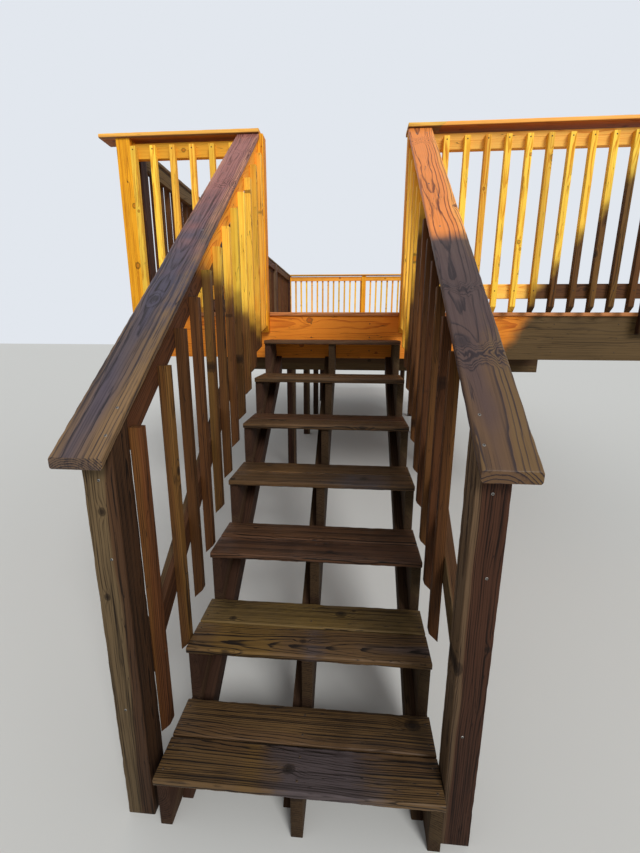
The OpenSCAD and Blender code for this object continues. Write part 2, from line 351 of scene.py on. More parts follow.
@dataclass(frozen=True)
class GrowthRings:
    """Growth rings round a wandering heart, which any cut face shows as lines, arches or arcs."""

    log_spread: float = 731.0
    wander: float = 0.042
    wander_pace: float = 1.5
    waver: float = 0.005
    waver_pace: Pace = (7.0, 46.0, 46.0)
    bend: float = 0.13
    bend_pace: Pace = (5.0, 24.0, 24.0)
    ripple_shares: tuple[float, ...] = (1.0, 0.6, 0.8)
    ripple_reaches: tuple[float, ...] = (0.065, 0.045, 0.07)
    bold_ripples: int = 2
    bold_rise: float = 50.0
    bold_onset: float = 0.4
    unevenness: float = 1.6
    uneven_pace: float = 70.0
    line_peak: float = 0.9
    line_fall: float = 0.92
    figure_pace: Pace = (1.6, 11.0, 11.0)

    def distance(self, net: Net, seed: Socket) -> Socket:
        """Distance from the heart, which wanders along the board.

        Args:
            net: the group's net.
            seed: number of the log.

        Returns:
            The distance.
        """
        along, across, through = net.split(net.into("Grain"))
        side, depth, drift = net.split(net.into("Pith"))
        path = net.join(net.times(along, self.wander_pace), seed, depth)
        sway_across, sway_through = net.split(net.noise(path, output="Color"))[:2]
        off = net.scaled(sway_across, self.wander, -self.wander / 2)
        lift = net.scaled(sway_through, self.wander, -self.wander / 2)
        x = net.minus(net.minus(across, side), off)
        z = net.minus(net.minus(through, depth), net.scaled(drift, along, lift))
        return net.math("SQRT", net.plus(net.times(x, x), net.times(z, z)))

    def ripple(self, net: Net, radius: Socket) -> tuple[Socket, Socket]:
        """Ripples the rings round the three places that the board names.

        Args:
            net: the group's net.
            radius: distance from the heart.

        Returns:
            The rippled distance, and how boldly the rings ripple.
        """
        strength = net.into("Strength")
        along = net.split(net.into("Grain"))[0]
        wave = net.noise(net.paced(net.into("Grain"), self.bend_pace))
        bent = net.scaled(wave, self.bend, net.minus(along, self.bend / 2))
        ripples = []
        centres = net.split(net.into("Whirl"))
        for centre, share, reach in zip(centres, self.ripple_shares, self.ripple_reaches):
            away = net.math("ABSOLUTE", net.minus(bent, centre))
            ripples.append(net.ease(away, 0.0, reach, share, 0.0))
            radius = net.scaled(ripples[-1], strength, radius)
        bold = net.math("MINIMUM", net.times(strength, self.bold_rise), 1.0)
        return radius, net.times(net.math("MAXIMUM", *ripples[:self.bold_ripples]), bold)

    def line(self, net: Net, radius: Socket, rippled: Socket, seed: Socket) -> Socket:
        """Dark line in each ring, which darkens slowly and ends sharply.

        Args:
            net: the group's net.
            radius: rippled distance from the heart.
            rippled: how boldly the rings ripple.
            seed: number of the log.

        Returns:
            The line's strength.
        """
        onset = net.scaled(rippled, -self.bold_onset, net.into("Onset"))
        count = net.math("DIVIDE", radius, net.into("Spacing"))
        uneven = net.noise(net.join(net.times(radius, self.uneven_pace), seed, 0.0), detail=1.0)
        phase = net.math("FRACT", net.scaled(uneven, self.unevenness, count))
        rise = net.ease(phase, onset, self.line_peak)
        return net.times(rise, net.ease(phase, self.line_fall, 1.0, 1.0, 0.0))

    def build(self) -> bpy.types.NodeTree:
        """Makes the group.

        Returns:
            Its tree.
        """
        inputs = {"Grain": "VECTOR", "Pith": "VECTOR", "Whirl": "VECTOR", "Strength": 0.0, "Swell": 0.0,
                  "Spacing": 0.006, "Onset": 0.38}
        net = Net.group("growth_rings", inputs, ("Line", "Figure", "Radius", "Ripple"))
        seed = net.times(net.split(net.into("Pith"))[0], self.log_spread)
        radius = self.distance(net, seed)
        net.out("Radius", radius)
        waver = net.noise(net.paced(net.into("Grain"), self.waver_pace), detail=3.0)
        radius = net.plus(radius, net.scaled(waver, self.waver, net.into("Swell")))
        radius, rippled = self.ripple(net, radius)
        net.out("Ripple", rippled)
        net.out("Line", self.line(net, radius, rippled, seed))
        net.out("Figure", net.noise(net.paced(net.into("Grain"), self.figure_pace)))
        return net.tree


@dataclass(frozen=True)
class KnotMarks:
    """Knots: one at a chosen place, and more that are scattered along a long board."""

    cell: tuple[float, float, float] = (0.55, 0.13, 1.0)
    cell_shift: tuple[float, float] = (9.0, 5.0)
    least: float = 0.005
    spread: float = 0.011
    ragged_pace: Pace = (60.0, 60.0, 60.0)
    ragged: float = 0.5
    body_length: float = 0.8
    swell_length: float = 0.42
    swell_share: float = 0.9
    swell_edge: tuple[float, float] = (0.2, 2.6)
    core_edge: tuple[float, float] = (0.55, 1.05)
    rim_start: tuple[float, float] = (0.6, 1.0)
    rim_end: tuple[float, float] = (1.0, 1.7)

    def chosen(self, net: Net) -> tuple[Socket, Socket, Socket]:
        """The knot that the board names.

        Args:
            net: the group's net.

        Returns:
            How far a point is from it along and across the grain, and its radius.
        """
        along, across = net.split(net.into("Grain"))[:2]
        knot_along, knot_across, radius = net.split(net.into("Knot"))
        return (net.minus(along, knot_along), net.minus(across, knot_across),
                net.math("MAXIMUM", radius, TINY))

    def scattered(self, net: Net) -> tuple[Socket, Socket, Socket]:
        """The nearest of the knots that chance scatters along the board.

        Args:
            net: the group's net.

        Returns:
            How far a point is from it along and across the grain, and its radius.
        """
        along, across = net.split(net.into("Grain"))[:2]
        seed = net.into("Seed")
        place = net.join(net.scaled(seed, self.cell_shift[0], net.math("DIVIDE", along, self.cell[0])),
                         net.scaled(seed, self.cell_shift[1], net.math("DIVIDE", across, self.cell[1])), 0.0)
        grid = net.add("ShaderNodeTexVoronoi", {"Vector": place, "Scale": 1.0}, voronoi_dimensions="2D",
                       feature="F1")
        gap = net.vector("MULTIPLY", net.vector("SUBTRACT", place, grid.outputs["Position"]), self.cell)
        gap_along, gap_across = net.split(gap)[:2]
        chance, width = net.split(grid.outputs["Color"])[:2]
        present = net.math("LESS_THAN", chance, net.into("Often"))
        radius = net.times(present, net.scaled(width, self.spread, self.least))
        return gap_along, gap_across, net.math("MAXIMUM", radius, TINY)

    def build(self) -> bpy.types.NodeTree:
        """Makes the group.

        Returns:
            Its tree.
        """
        inputs = {"Grain": "VECTOR", "Knot": "VECTOR", "Seed": 0.0, "Often": 0.5}
        net = Net.group("knot_marks", inputs, ("Swell", "Core", "Rim"))
        rough = net.noise(net.paced(net.into("Grain"), self.ragged_pace))
        spread = net.scaled(rough, self.ragged, 1 - self.ragged / 2)
        near, swell = [], []
        for along, across, radius in (self.chosen(net), self.scattered(net)):
            u = net.math("DIVIDE", along, radius)
            v = net.math("DIVIDE", across, radius)
            body = net.vector("LENGTH", net.join(net.times(u, self.body_length), v, 0.0))
            near.append(net.times(spread, body))
            far = net.vector("LENGTH", net.join(net.times(u, self.swell_length), v, 0.0))
            bulge = net.ease(far, *self.swell_edge, 1.0, 0.0)
            swell.append(net.times(net.times(radius, self.swell_share), bulge))
        closest = net.math("MINIMUM", *near)
        net.out("Swell", net.math("MAXIMUM", *swell))
        net.out("Core", net.ease(closest, *self.core_edge, 1.0, 0.0))
        rise = net.ease(closest, *self.rim_start)
        net.out("Rim", net.times(rise, net.ease(closest, *self.rim_end, 1.0, 0.0)))
        return net.tree


@dataclass(frozen=True)
class SunShadeAndPatches:
    """From dark painted shade below a line to honey painted sunlight above it, with a cloudy edge; also
    cloudy patches of tone, and painted shade that deepens towards the ground.
    """

    cloud_scale: float = 9.0
    cloud_reach: float = 1.6
    patch_scale: float = 3.1
    patch_roughness: float = 0.6
    ground_scale: float = 1.7
    ground_sway: float = 0.5
    ground_shade_heights: tuple[float, float] = (0.15, 1.9)

    def build(self) -> bpy.types.NodeTree:
        """Makes the group.

        Returns:
            Its tree.
        """
        inputs = {"Place": "VECTOR", "Lift": 0.0, "Soft": 0.05}
        net = Net.group("weather_line", inputs, ("Dry", "Patch", "Splash"))
        place, soft = net.into("Place"), net.into("Soft")
        cloud = net.noise(place, self.cloud_scale, 3.0)
        sway = net.times(net.minus(cloud, 0.5), soft)
        height = net.scaled(sway, self.cloud_reach, net.into("Lift"))
        net.out("Dry", net.ease(height, net.times(soft, -1.0), soft))
        net.out("Patch", net.noise(place, self.patch_scale, 3.0, self.patch_roughness))
        # Painted shade, darker towards the ground
        wide = net.noise(place, self.ground_scale)
        ground = net.scaled(wide, self.ground_sway, net.split(place)[2])
        net.out("Splash", net.ease(ground, *self.ground_shade_heights, 1.0, 0.0))
        return net.tree


@dataclass(frozen=True)
class LongFibres:
    """Fine streaks and short drying cracks that run with the grain."""

    fine_pace: Pace = (5.0, 240.0, 240.0)
    fine_share: float = 0.4
    fine_roughness: float = 0.6
    broad_pace: Pace = (1.1, 95.0, 95.0)
    broad_share: float = 0.6
    broad_roughness: float = 0.55
    streak_edge: tuple[float, float] = (0.33, 0.67)
    crack_pace: Pace = (3.2, 75.0, 75.0)
    crack_width: tuple[float, float] = (0.002, 0.014)
    crowd_pace: Pace = (5.0, 22.0, 22.0)
    crowd_edge: tuple[float, float] = (0.54, 0.62)

    def build(self) -> bpy.types.NodeTree:
        """Makes the group.

        Returns:
            Its tree.
        """
        net = Net.group("long_fibres", {"Grain": "VECTOR", "Seed": 0.0}, ("Streak", "Crack"))
        grain, seed = net.into("Grain"), net.into("Seed")
        shift = net.join(seed, seed, seed)
        fine, broad, coarse = (net.vector("ADD", net.paced(grain, pace), shift)
                               for pace in (self.fine_pace, self.broad_pace, self.crack_pace))
        both = net.scaled(net.noise(broad, roughness=self.broad_roughness), self.broad_share,
                          net.times(net.noise(fine, roughness=self.fine_roughness), self.fine_share))
        net.out("Streak", net.ease(both, *self.streak_edge))
        split = net.math("ABSOLUTE", net.minus(net.noise(coarse, detail=1.0), 0.5))
        crowd = net.noise(net.paced(grain, self.crowd_pace), detail=1.0)
        thin = net.ease(split, *self.crack_width, 1.0, 0.0)
        net.out("Crack", net.times(thin, net.ease(crowd, *self.crowd_edge)))
        return net.tree


@dataclass(frozen=True)
class WornEdges:
    """Wear along a board's long edges, and open grain at its ends."""

    width: float = 0.006
    rough_pace: Pace = (30.0, 60.0, 60.0)
    rough: float = 1.6
    wear_edge: tuple[float, float] = (0.1, 1.0)
    end_edge: tuple[float, float] = (0.4, 0.7)

    def build(self) -> bpy.types.NodeTree:
        """Makes the group.

        Returns:
            Its tree.
        """
        inputs = {"Grain": "VECTOR", "Size": "VECTOR", "Axis": "VECTOR", "Width": self.width}
        net = Net.group("worn_edges", inputs, ("Edge", "End"))
        grain = net.into("Grain")
        gap = net.vector("SUBTRACT", net.into("Size"), net.vector("ABSOLUTE", grain))
        gap_across, gap_through = net.split(gap)[1:]
        rough = net.noise(net.paced(grain, self.rough_pace), detail=3.0)
        corner = net.math("DIVIDE", net.math("MAXIMUM", gap_across, gap_through), net.into("Width"))
        reach = net.scaled(rough, self.rough, net.minus(corner, self.rough / 2))
        net.out("Edge", net.ease(reach, *self.wear_edge, 1.0, 0.0))
        normal = net.add("ShaderNodeNewGeometry").outputs["True Normal"]
        facing = net.vector("DOT_PRODUCT", normal, net.into("Axis"))
        net.out("End", net.ease(net.math("ABSOLUTE", facing), *self.end_edge))
        return net.tree


@dataclass(frozen=True)
class Effects:
    """Shader node groups that the wood finishes share."""

    rings: bpy.types.NodeTree
    knots: bpy.types.NodeTree
    weather: bpy.types.NodeTree
    fibres: bpy.types.NodeTree
    edges: bpy.types.NodeTree

    @classmethod
    def build(cls) -> "Effects":
        """Builds each group once."""
        return cls(*(kind().build() for kind in (GrowthRings, KnotMarks, SunShadeAndPatches, LongFibres, WornEdges)))


@dataclass(frozen=True)
class Tones:
    """Colours of a board in one state: the pale wood, the ring's dark line and the heartwood."""

    pale: Colour
    line: Colour
    heart: Colour


@dataclass(frozen=True)
class Marks:
    """Masks that change over a board, as sockets of one material."""

    dry: Socket
    patch: Socket
    splash: Socket
    ring: Socket
    figure: Socket
    radius: Socket
    ripple: Socket
    streak: Socket
    crack: Socket
    knot: Socket
    knot_rim: Socket
    edge: Socket
    end: Socket
    purple: Socket
    golden: Socket
    dirt: Socket
    tone: Socket
    warmth: Socket


@dataclass(frozen=True)
class Layers:
    """How strongly every finish lays one mark over another."""

    seed_spread: float = 17.0
    ragged_streak: float = 0.4
    ragged_noise: tuple[float, float, float] = (11.0, 4.0, 0.6)
    sky_sheen_ragged: float = 0.8
    sky_sheen_edge: tuple[float, float] = (0.75, 1.35)
    other_ragged: float = 0.5
    golden_edge: tuple[float, float] = (0.6, 1.1)
    dirt_edge: tuple[float, float] = (0.6, 1.2)
    figure_edge: tuple[float, float] = (0.25, 0.7)
    ripple_bold: float = 0.9
    end_bold: float = 0.6
    heart_cloud: float = 0.03
    heart_warmth: float = -0.012
    heart_edge: float = 0.014
    sap_edge: float = 0.008
    golden: float = 0.8
    fibre_middle: float = 0.4
    knot: float = 0.85
    knot_rim: float = 0.65
    crack: float = 0.8
    dirt: float = 0.6
    tone: float = 0.34
    patch: float = 0.4
    darkest: float = 0.63
    hue: tuple[float, float] = (-0.022, 0.508)
    rough_line: float = 0.12
    rough_streak: float = 0.18
    high_streak: float = 0.35
    high_line: float = 0.5
    deep_crack: float = 1.2
    high_knot: float = 0.5
    bump: float = 0.8
    coat_roughness: float = 0.3


LAYERS = Layers()


@dataclass(frozen=True)
class Finish:
    """Stained lumber: its colours painted as sunlit and painted as shaded, and how bold its figure is."""

    name: str
    # Tones painted as in sunlight, then tones painted as in shade
    dry: Tones
    shadowed: Tones
    sap: Colour = rgb(112, 94, 62)
    gold: Colour = rgb(122, 96, 46)
    heart_share: float = 0.3
    heart_radius: float = 0.06
    sap_share: float = 0.6
    sap_radius: float = 0.083
    spacing: float = 0.0065
    onset: float = 0.38
    figure: float = 0.85
    faint: float = 0.4
    # How far the painted sky reflection hides the ring lines
    veil: float = 0.0
    sap_veil: float = 0.0
    fibre: float = 0.45
    knots: float = 0.45
    # Pale worn edges, which on the treads also paint the highlight along the nosings
    wear_and_highlight: float = 0.4
    end_shade: float = 0.35
    # Share of the painted shade towards the ground
    splash: float = 0.35
    soft: float = 0.10
    roughness: float = 0.55
    sheen: float = 0.25
    coat: float = 0.0
    relief: float = 0.0011

    def marks(self, net: Net, effects: Effects) -> Marks:
        """Places the shared groups, fed by what the mesh carries.

        Args:
            net: the material's net.
            effects: the shared shader groups.

        Returns:
            The masks.
        """
        grain = net.attribute("grain")
        tone, warmth, chance = net.split(net.attribute("tone"))
        seed = net.times(chance, LAYERS.seed_spread)
        place = net.add("ShaderNodeTexCoord").outputs["Object"]
        knots = net.use(effects.knots, Grain=grain, Knot=net.attribute("knot"), Seed=seed,
                        Often=self.knots).outputs
        rings = net.use(effects.rings, Grain=grain, Pith=net.attribute("pith"), Whirl=net.attribute("whirl"),
                        Strength=net.attribute("ripple", "Fac"), Swell=knots["Swell"], Spacing=self.spacing,
                        Onset=self.onset).outputs
        fibres = net.use(effects.fibres, Grain=grain, Seed=seed).outputs
        edges = net.use(effects.edges, Grain=grain, Size=net.attribute("size"),
                        Axis=net.attribute("axis")).outputs
        weather = net.use(effects.weather, Place=place, Lift=net.attribute("lift", "Fac"),
                          Soft=self.soft).outputs
        purple, golden, dirt = net.split(net.attribute("tint"))
        ragged = net.scaled(fibres["Streak"], LAYERS.ragged_streak, net.noise(grain, *LAYERS.ragged_noise))
        return Marks(
            dry=weather["Dry"], patch=weather["Patch"], splash=weather["Splash"], ring=rings["Line"],
            figure=rings["Figure"], radius=rings["Radius"], ripple=rings["Ripple"], streak=fibres["Streak"],
            crack=fibres["Crack"], knot=knots["Core"], knot_rim=knots["Rim"], edge=edges["Edge"],
            end=edges["End"], tone=tone, warmth=warmth,
            purple=net.ease(net.scaled(ragged, LAYERS.sky_sheen_ragged, purple), *LAYERS.sky_sheen_edge),
            golden=net.ease(net.scaled(ragged, LAYERS.other_ragged, golden), *LAYERS.golden_edge),
            dirt=net.ease(net.scaled(ragged, LAYERS.other_ragged, dirt), *LAYERS.dirt_edge))

    def heart_and_sap(self, net: Net, marks: Marks) -> tuple[Socket, Socket]:
        """Masks of the heartwood, which also takes in the painted sky reflection, and of the sapwood.

        Args:
            net: the material's net.
            marks: the masks.

        Returns:
            The heartwood's mask and the sapwood's.
        """
        cloud = net.scaled(marks.figure, LAYERS.heart_cloud, -LAYERS.heart_cloud / 2)
        core = net.plus(marks.radius, net.scaled(marks.warmth, LAYERS.heart_warmth, cloud))
        heart = net.times(net.ease(core, self.heart_radius, self.heart_radius + LAYERS.heart_edge, 1.0, 0.0),
                          self.heart_share)
        # The painted sky reflection takes the heart colour
        heart = net.times(net.math("MAXIMUM", heart, marks.purple), net.minus(1.0, marks.end))
        sapwood = net.ease(core, self.sap_radius, self.sap_radius + LAYERS.sap_edge)
        return heart, net.times(sapwood, self.sap_share)

    def line(self, net: Net, marks: Marks, sapwood: Socket) -> Socket:
        """Strength of the ring's dark line, bold in a ripple and at an end, faint under the painted sky
        reflection and in sapwood.

        Args:
            net: the material's net.
            marks: the masks.
            sapwood: the sapwood's mask.

        Returns:
            The line's strength.
        """
        line = net.times(marks.ring, self.figure)
        line = net.times(line, net.ease(marks.figure, *LAYERS.figure_edge, 1.0, self.faint))
        line = net.times(line, net.scaled(marks.ripple, LAYERS.ripple_bold, 1.0))
        veil = net.scaled(marks.purple, -self.veil, net.times(sapwood, -self.sap_veil))
        line = net.times(line, net.plus(veil, 1.0))
        return net.times(line, net.scaled(marks.end, LAYERS.end_bold, 1.0))

    def colour(self, net: Net, marks: Marks, line: Socket, heart: Socket, sapwood: Socket) -> Socket:
        """Colour of the stained wood, painted as sunlit above its line and as shaded below it.

        Args:
            net: the material's net.
            marks: the masks.
            line: strength of the ring's dark line.
            heart: the heartwood's mask.
            sapwood: the sapwood's mask.

        Returns:
            The colour.
        """
        # Painted light: the sunlit tones above the line, the shaded tones below it
        dark = net.mix(marks.dry, self.shadowed.line, self.dry.line)
        pale = net.mix(marks.dry, self.shadowed.pale, self.dry.pale)
        for mask, shadowed, dry in ((sapwood, self.sap, self.dry.pale), (heart, self.shadowed.heart, self.dry.heart),
                                (net.times(marks.golden, LAYERS.golden), self.gold, self.dry.pale)):
            pale = net.mix(mask, pale, net.mix(marks.dry, shadowed, dry))
        shade = net.plus(line, net.scaled(marks.streak, self.fibre, -LAYERS.fibre_middle * self.fibre))
        colour = net.mix(net.ease(shade, 0.0, 1.0), pale, dark)
        for mask, over in ((net.times(marks.edge, self.wear_and_highlight), pale),
                           (net.ease(marks.knot, 0.0, 1.0, 0.0, LAYERS.knot), dark),
                           (net.ease(marks.knot_rim, 0.0, 1.0, 0.0, LAYERS.knot_rim), self.shadowed.line),
                           (net.times(marks.crack, LAYERS.crack), self.shadowed.line),
                           (net.times(marks.end, self.end_shade), dark),
                           (net.times(marks.dirt, LAYERS.dirt), self.shadowed.line)):
            colour = net.mix(mask, colour, over)
        value = net.scaled(marks.tone, LAYERS.tone, net.scaled(marks.patch, LAYERS.patch, LAYERS.darkest))
        # Painted shade, darker towards the ground
        value = net.times(value, net.scaled(marks.splash, -self.splash, 1.0))
        feeds = {"Hue": net.scaled(marks.warmth, *LAYERS.hue), "Value": value, "Color": colour}
        return net.add("ShaderNodeHueSaturation", feeds).outputs[0]

    def surface(self, net: Net, marks: Marks, line: Socket) -> Socket:
        """Relief of the grain: raised lines, streaks and knots, and open cracks.

        Args:
            net: the material's net.
            marks: the masks.
            line: strength of the ring's dark line.

        Returns:
            The surface's direction.
        """
        height = net.scaled(marks.streak, LAYERS.high_streak, net.times(line, LAYERS.high_line))
        height = net.minus(height, net.times(marks.crack, LAYERS.deep_crack))
        height = net.plus(height, net.times(marks.knot, LAYERS.high_knot))
        feeds = {"Strength": LAYERS.bump, "Distance": self.relief, "Height": height}
        return net.add("ShaderNodeBump", feeds).outputs[0]

    def build(self, effects: Effects) -> bpy.types.Material:
        """Makes the material.

        Args:
            effects: the shared shader groups.

        Returns:
            The finished material.
        """
        material, net, inputs = Net.material(self.name)
        marks = self.marks(net, effects)
        heart, sapwood = self.heart_and_sap(net, marks)
        line = self.line(net, marks, sapwood)
        rough = net.scaled(line, LAYERS.rough_line, self.roughness)
        feeds = {"Base Color": self.colour(net, marks, line, heart, sapwood),
                 "Roughness": net.scaled(marks.streak, LAYERS.rough_streak, rough),
                 "Normal": self.surface(net, marks, line), "Specular IOR Level": self.sheen,
                 "Coat Weight": self.coat, "Coat Roughness": LAYERS.coat_roughness}
        for label, value in feeds.items():
            net.feed(inputs[label], value)
        return material


# In each finish the first Tones are its colours painted as sunlit, the second its colours painted as shaded
class Wood(Enum):
    """The finishes, each named for what it covers."""

    FRAMING = Finish(
        "framing_stain", Tones(rgb(170, 116, 58), rgb(112, 70, 34), rgb(150, 96, 48)),
        Tones(rgb(76, 54, 36), rgb(36, 25, 17), rgb(58, 38, 27)),
        sap=rgb(92, 72, 48), roughness=0.7, figure=0.7, sheen=0.12)
    # In the treads and caps the shaded heart tones also colour the painted sky reflection
    TREAD = Finish(
        "tread_stain", Tones(rgb(176, 122, 66), rgb(110, 70, 36), rgb(150, 96, 48)),
        Tones(rgb(106, 82, 50), rgb(30, 21, 13), rgb(92, 81, 80)),
        sap=rgb(122, 98, 56), sap_share=0.4, heart_share=0.85, heart_radius=0.03, spacing=0.0056, figure=1.2,
        # The strong edge wear here also paints the highlight along the nosings
        onset=0.52, faint=0.7, veil=0.45, fibre=1.15, wear_and_highlight=0.5, splash=0.25, roughness=0.42, sheen=0.14,
        coat=0.1, relief=0.0016)
    UPPER_TREAD = replace(
        TREAD, name="upper_tread_stain", shadowed=replace(TREAD.shadowed, pale=rgb(106, 76, 50)),
        sap=rgb(114, 84, 56), gold=rgb(124, 86, 48), splash=0.45)
    POST = Finish(
        "post_stain", Tones(rgb(255, 186, 44), rgb(190, 108, 22), rgb(240, 156, 34)),
        Tones(rgb(84, 58, 38), rgb(28, 18, 12), rgb(68, 44, 29)),
        sap=rgb(118, 100, 72), sap_radius=0.068, sap_veil=0.75, heart_share=0.75, spacing=0.0055, figure=1.0,
        faint=0.55, fibre=1.0, splash=0.4, roughness=0.5, sheen=0.12)
    CAP = Finish(
        "sloped_cap_stain", Tones(rgb(255, 172, 82), rgb(112, 54, 30), rgb(240, 140, 62)),
        Tones(rgb(102, 75, 49), rgb(46, 33, 34), rgb(80, 60, 56)),
        sap=rgb(110, 84, 48), sap_share=0.8, sap_radius=0.113, heart_share=0.9, heart_radius=0.099,
        spacing=0.0085, figure=1.0, onset=0.55, faint=0.65, fibre=0.45, wear_and_highlight=0.35, end_shade=0.0, splash=0.0,
        soft=0.035, roughness=0.45, coat=0.1)
    LEFT_CAP = Finish(
        "left_cap_stain", Tones(rgb(200, 144, 110), rgb(96, 56, 44), rgb(166, 110, 96)),
        Tones(rgb(114, 92, 68), rgb(42, 34, 38), rgb(72, 65, 82)),
        sap=rgb(142, 114, 70), sap_radius=0.1, heart_share=0.95, heart_radius=0.088, spacing=0.005,
        figure=0.9, fibre=1.0, wear_and_highlight=0.35, end_shade=0.2, splash=0.0, soft=0.35, roughness=0.45, coat=0.1)
    # The shaded tones of the level caps are painted on their undersides as shade
    LEVEL_CAP = Finish(
        "level_cap_stain", Tones(rgb(255, 198, 86), rgb(214, 138, 48), rgb(240, 168, 64)),
        Tones(rgb(170, 104, 26), rgb(108, 62, 16), rgb(138, 82, 24)),
        soft=0.002, roughness=0.5, figure=0.7)
    # The left guard's cap, painted in shade all over
    SHADED_CAP = replace(
        LEVEL_CAP, name="shaded_cap_stain", shadowed=Tones(rgb(88, 56, 30), rgb(50, 33, 21), rgb(70, 46, 28)))
    RAIL = Finish(
        "rail_stain", Tones(rgb(252, 186, 62), rgb(204, 120, 28), rgb(236, 154, 42)),
        Tones(rgb(90, 59, 31), rgb(40, 26, 16), rgb(70, 43, 26)),
        spacing=0.006, figure=0.75, roughness=0.55, sheen=0.15)
    PALE_RAIL = replace(
        RAIL, name="pale_rail_stain", dry=Tones(rgb(255, 206, 94), rgb(224, 148, 52), rgb(250, 182, 72)))
    BALUSTER = Finish(
        "baluster_stain", Tones(rgb(255, 208, 76), rgb(210, 130, 26), rgb(242, 164, 52)),
        Tones(rgb(98, 63, 30), rgb(40, 25, 14), rgb(76, 45, 25)),
        sap=rgb(118, 84, 40), sap_share=0.5, spacing=0.0055, figure=0.9, fibre=0.7, knots=0.7, roughness=0.5,
        sheen=0.12)
    RIM = Finish(
        "rim_stain", Tones(rgb(236, 150, 38), rgb(180, 94, 18), rgb(216, 126, 28)),
        Tones(rgb(84, 66, 36), rgb(50, 38, 21), rgb(76, 58, 34)),
        sap=rgb(98, 78, 42), spacing=0.009, figure=0.7, roughness=0.6)
    DECK = Finish(
        "deck_stain", Tones(rgb(212, 150, 84), rgb(158, 100, 50), rgb(180, 118, 60)),
        Tones(rgb(92, 68, 42), rgb(48, 33, 22), rgb(80, 56, 36)),
        figure=0.8, roughness=0.5)


@dataclass(frozen=True)
class SunShadeLine:
    """Height above which a piece is painted as sunlit rather than shaded, which may climb across the stair
    and up it.
    """

    level: float
    climb_x: float = 0.0
    climb_y: float = 0.0

    def lift(self, points: np.ndarray) -> np.ndarray:
        """Height of each point above the line."""
        return points[:, 2] - self.level - self.climb_x * points[:, 0] - self.climb_y * points[:, 1]


# Painted sunlight all over, and painted shade all over
PAINTED_SUN = SunShadeLine(-1.0)
PAINTED_SHADE = SunShadeLine(9.0)


@dataclass(frozen=True)
class Shaping:
    """How a length is worked.

    The width of its eased edges, the greatest stretch of its mesh, and how far its long edges are rubbed.
    """

    ease: float = 0.0015
    step: float = 0.4
    rub: float = 0.0


@dataclass(frozen=True)
class Rubbing:
    """How uneven the rubbed edges are."""

    width: float = 0.008
    waves: int = 6
    wave_pace: tuple[float, float] = (9, 130)
    turn: float = 6.3
    dents: int = 4
    dent_length: tuple[float, float] = (0.006, 0.02)
    evenly: float = 0.4
    wave_share: float = 0.3
    dent_share: float = 1.2
    deepest: float = 2
    through: float = 0.7


RUBBING = Rubbing()


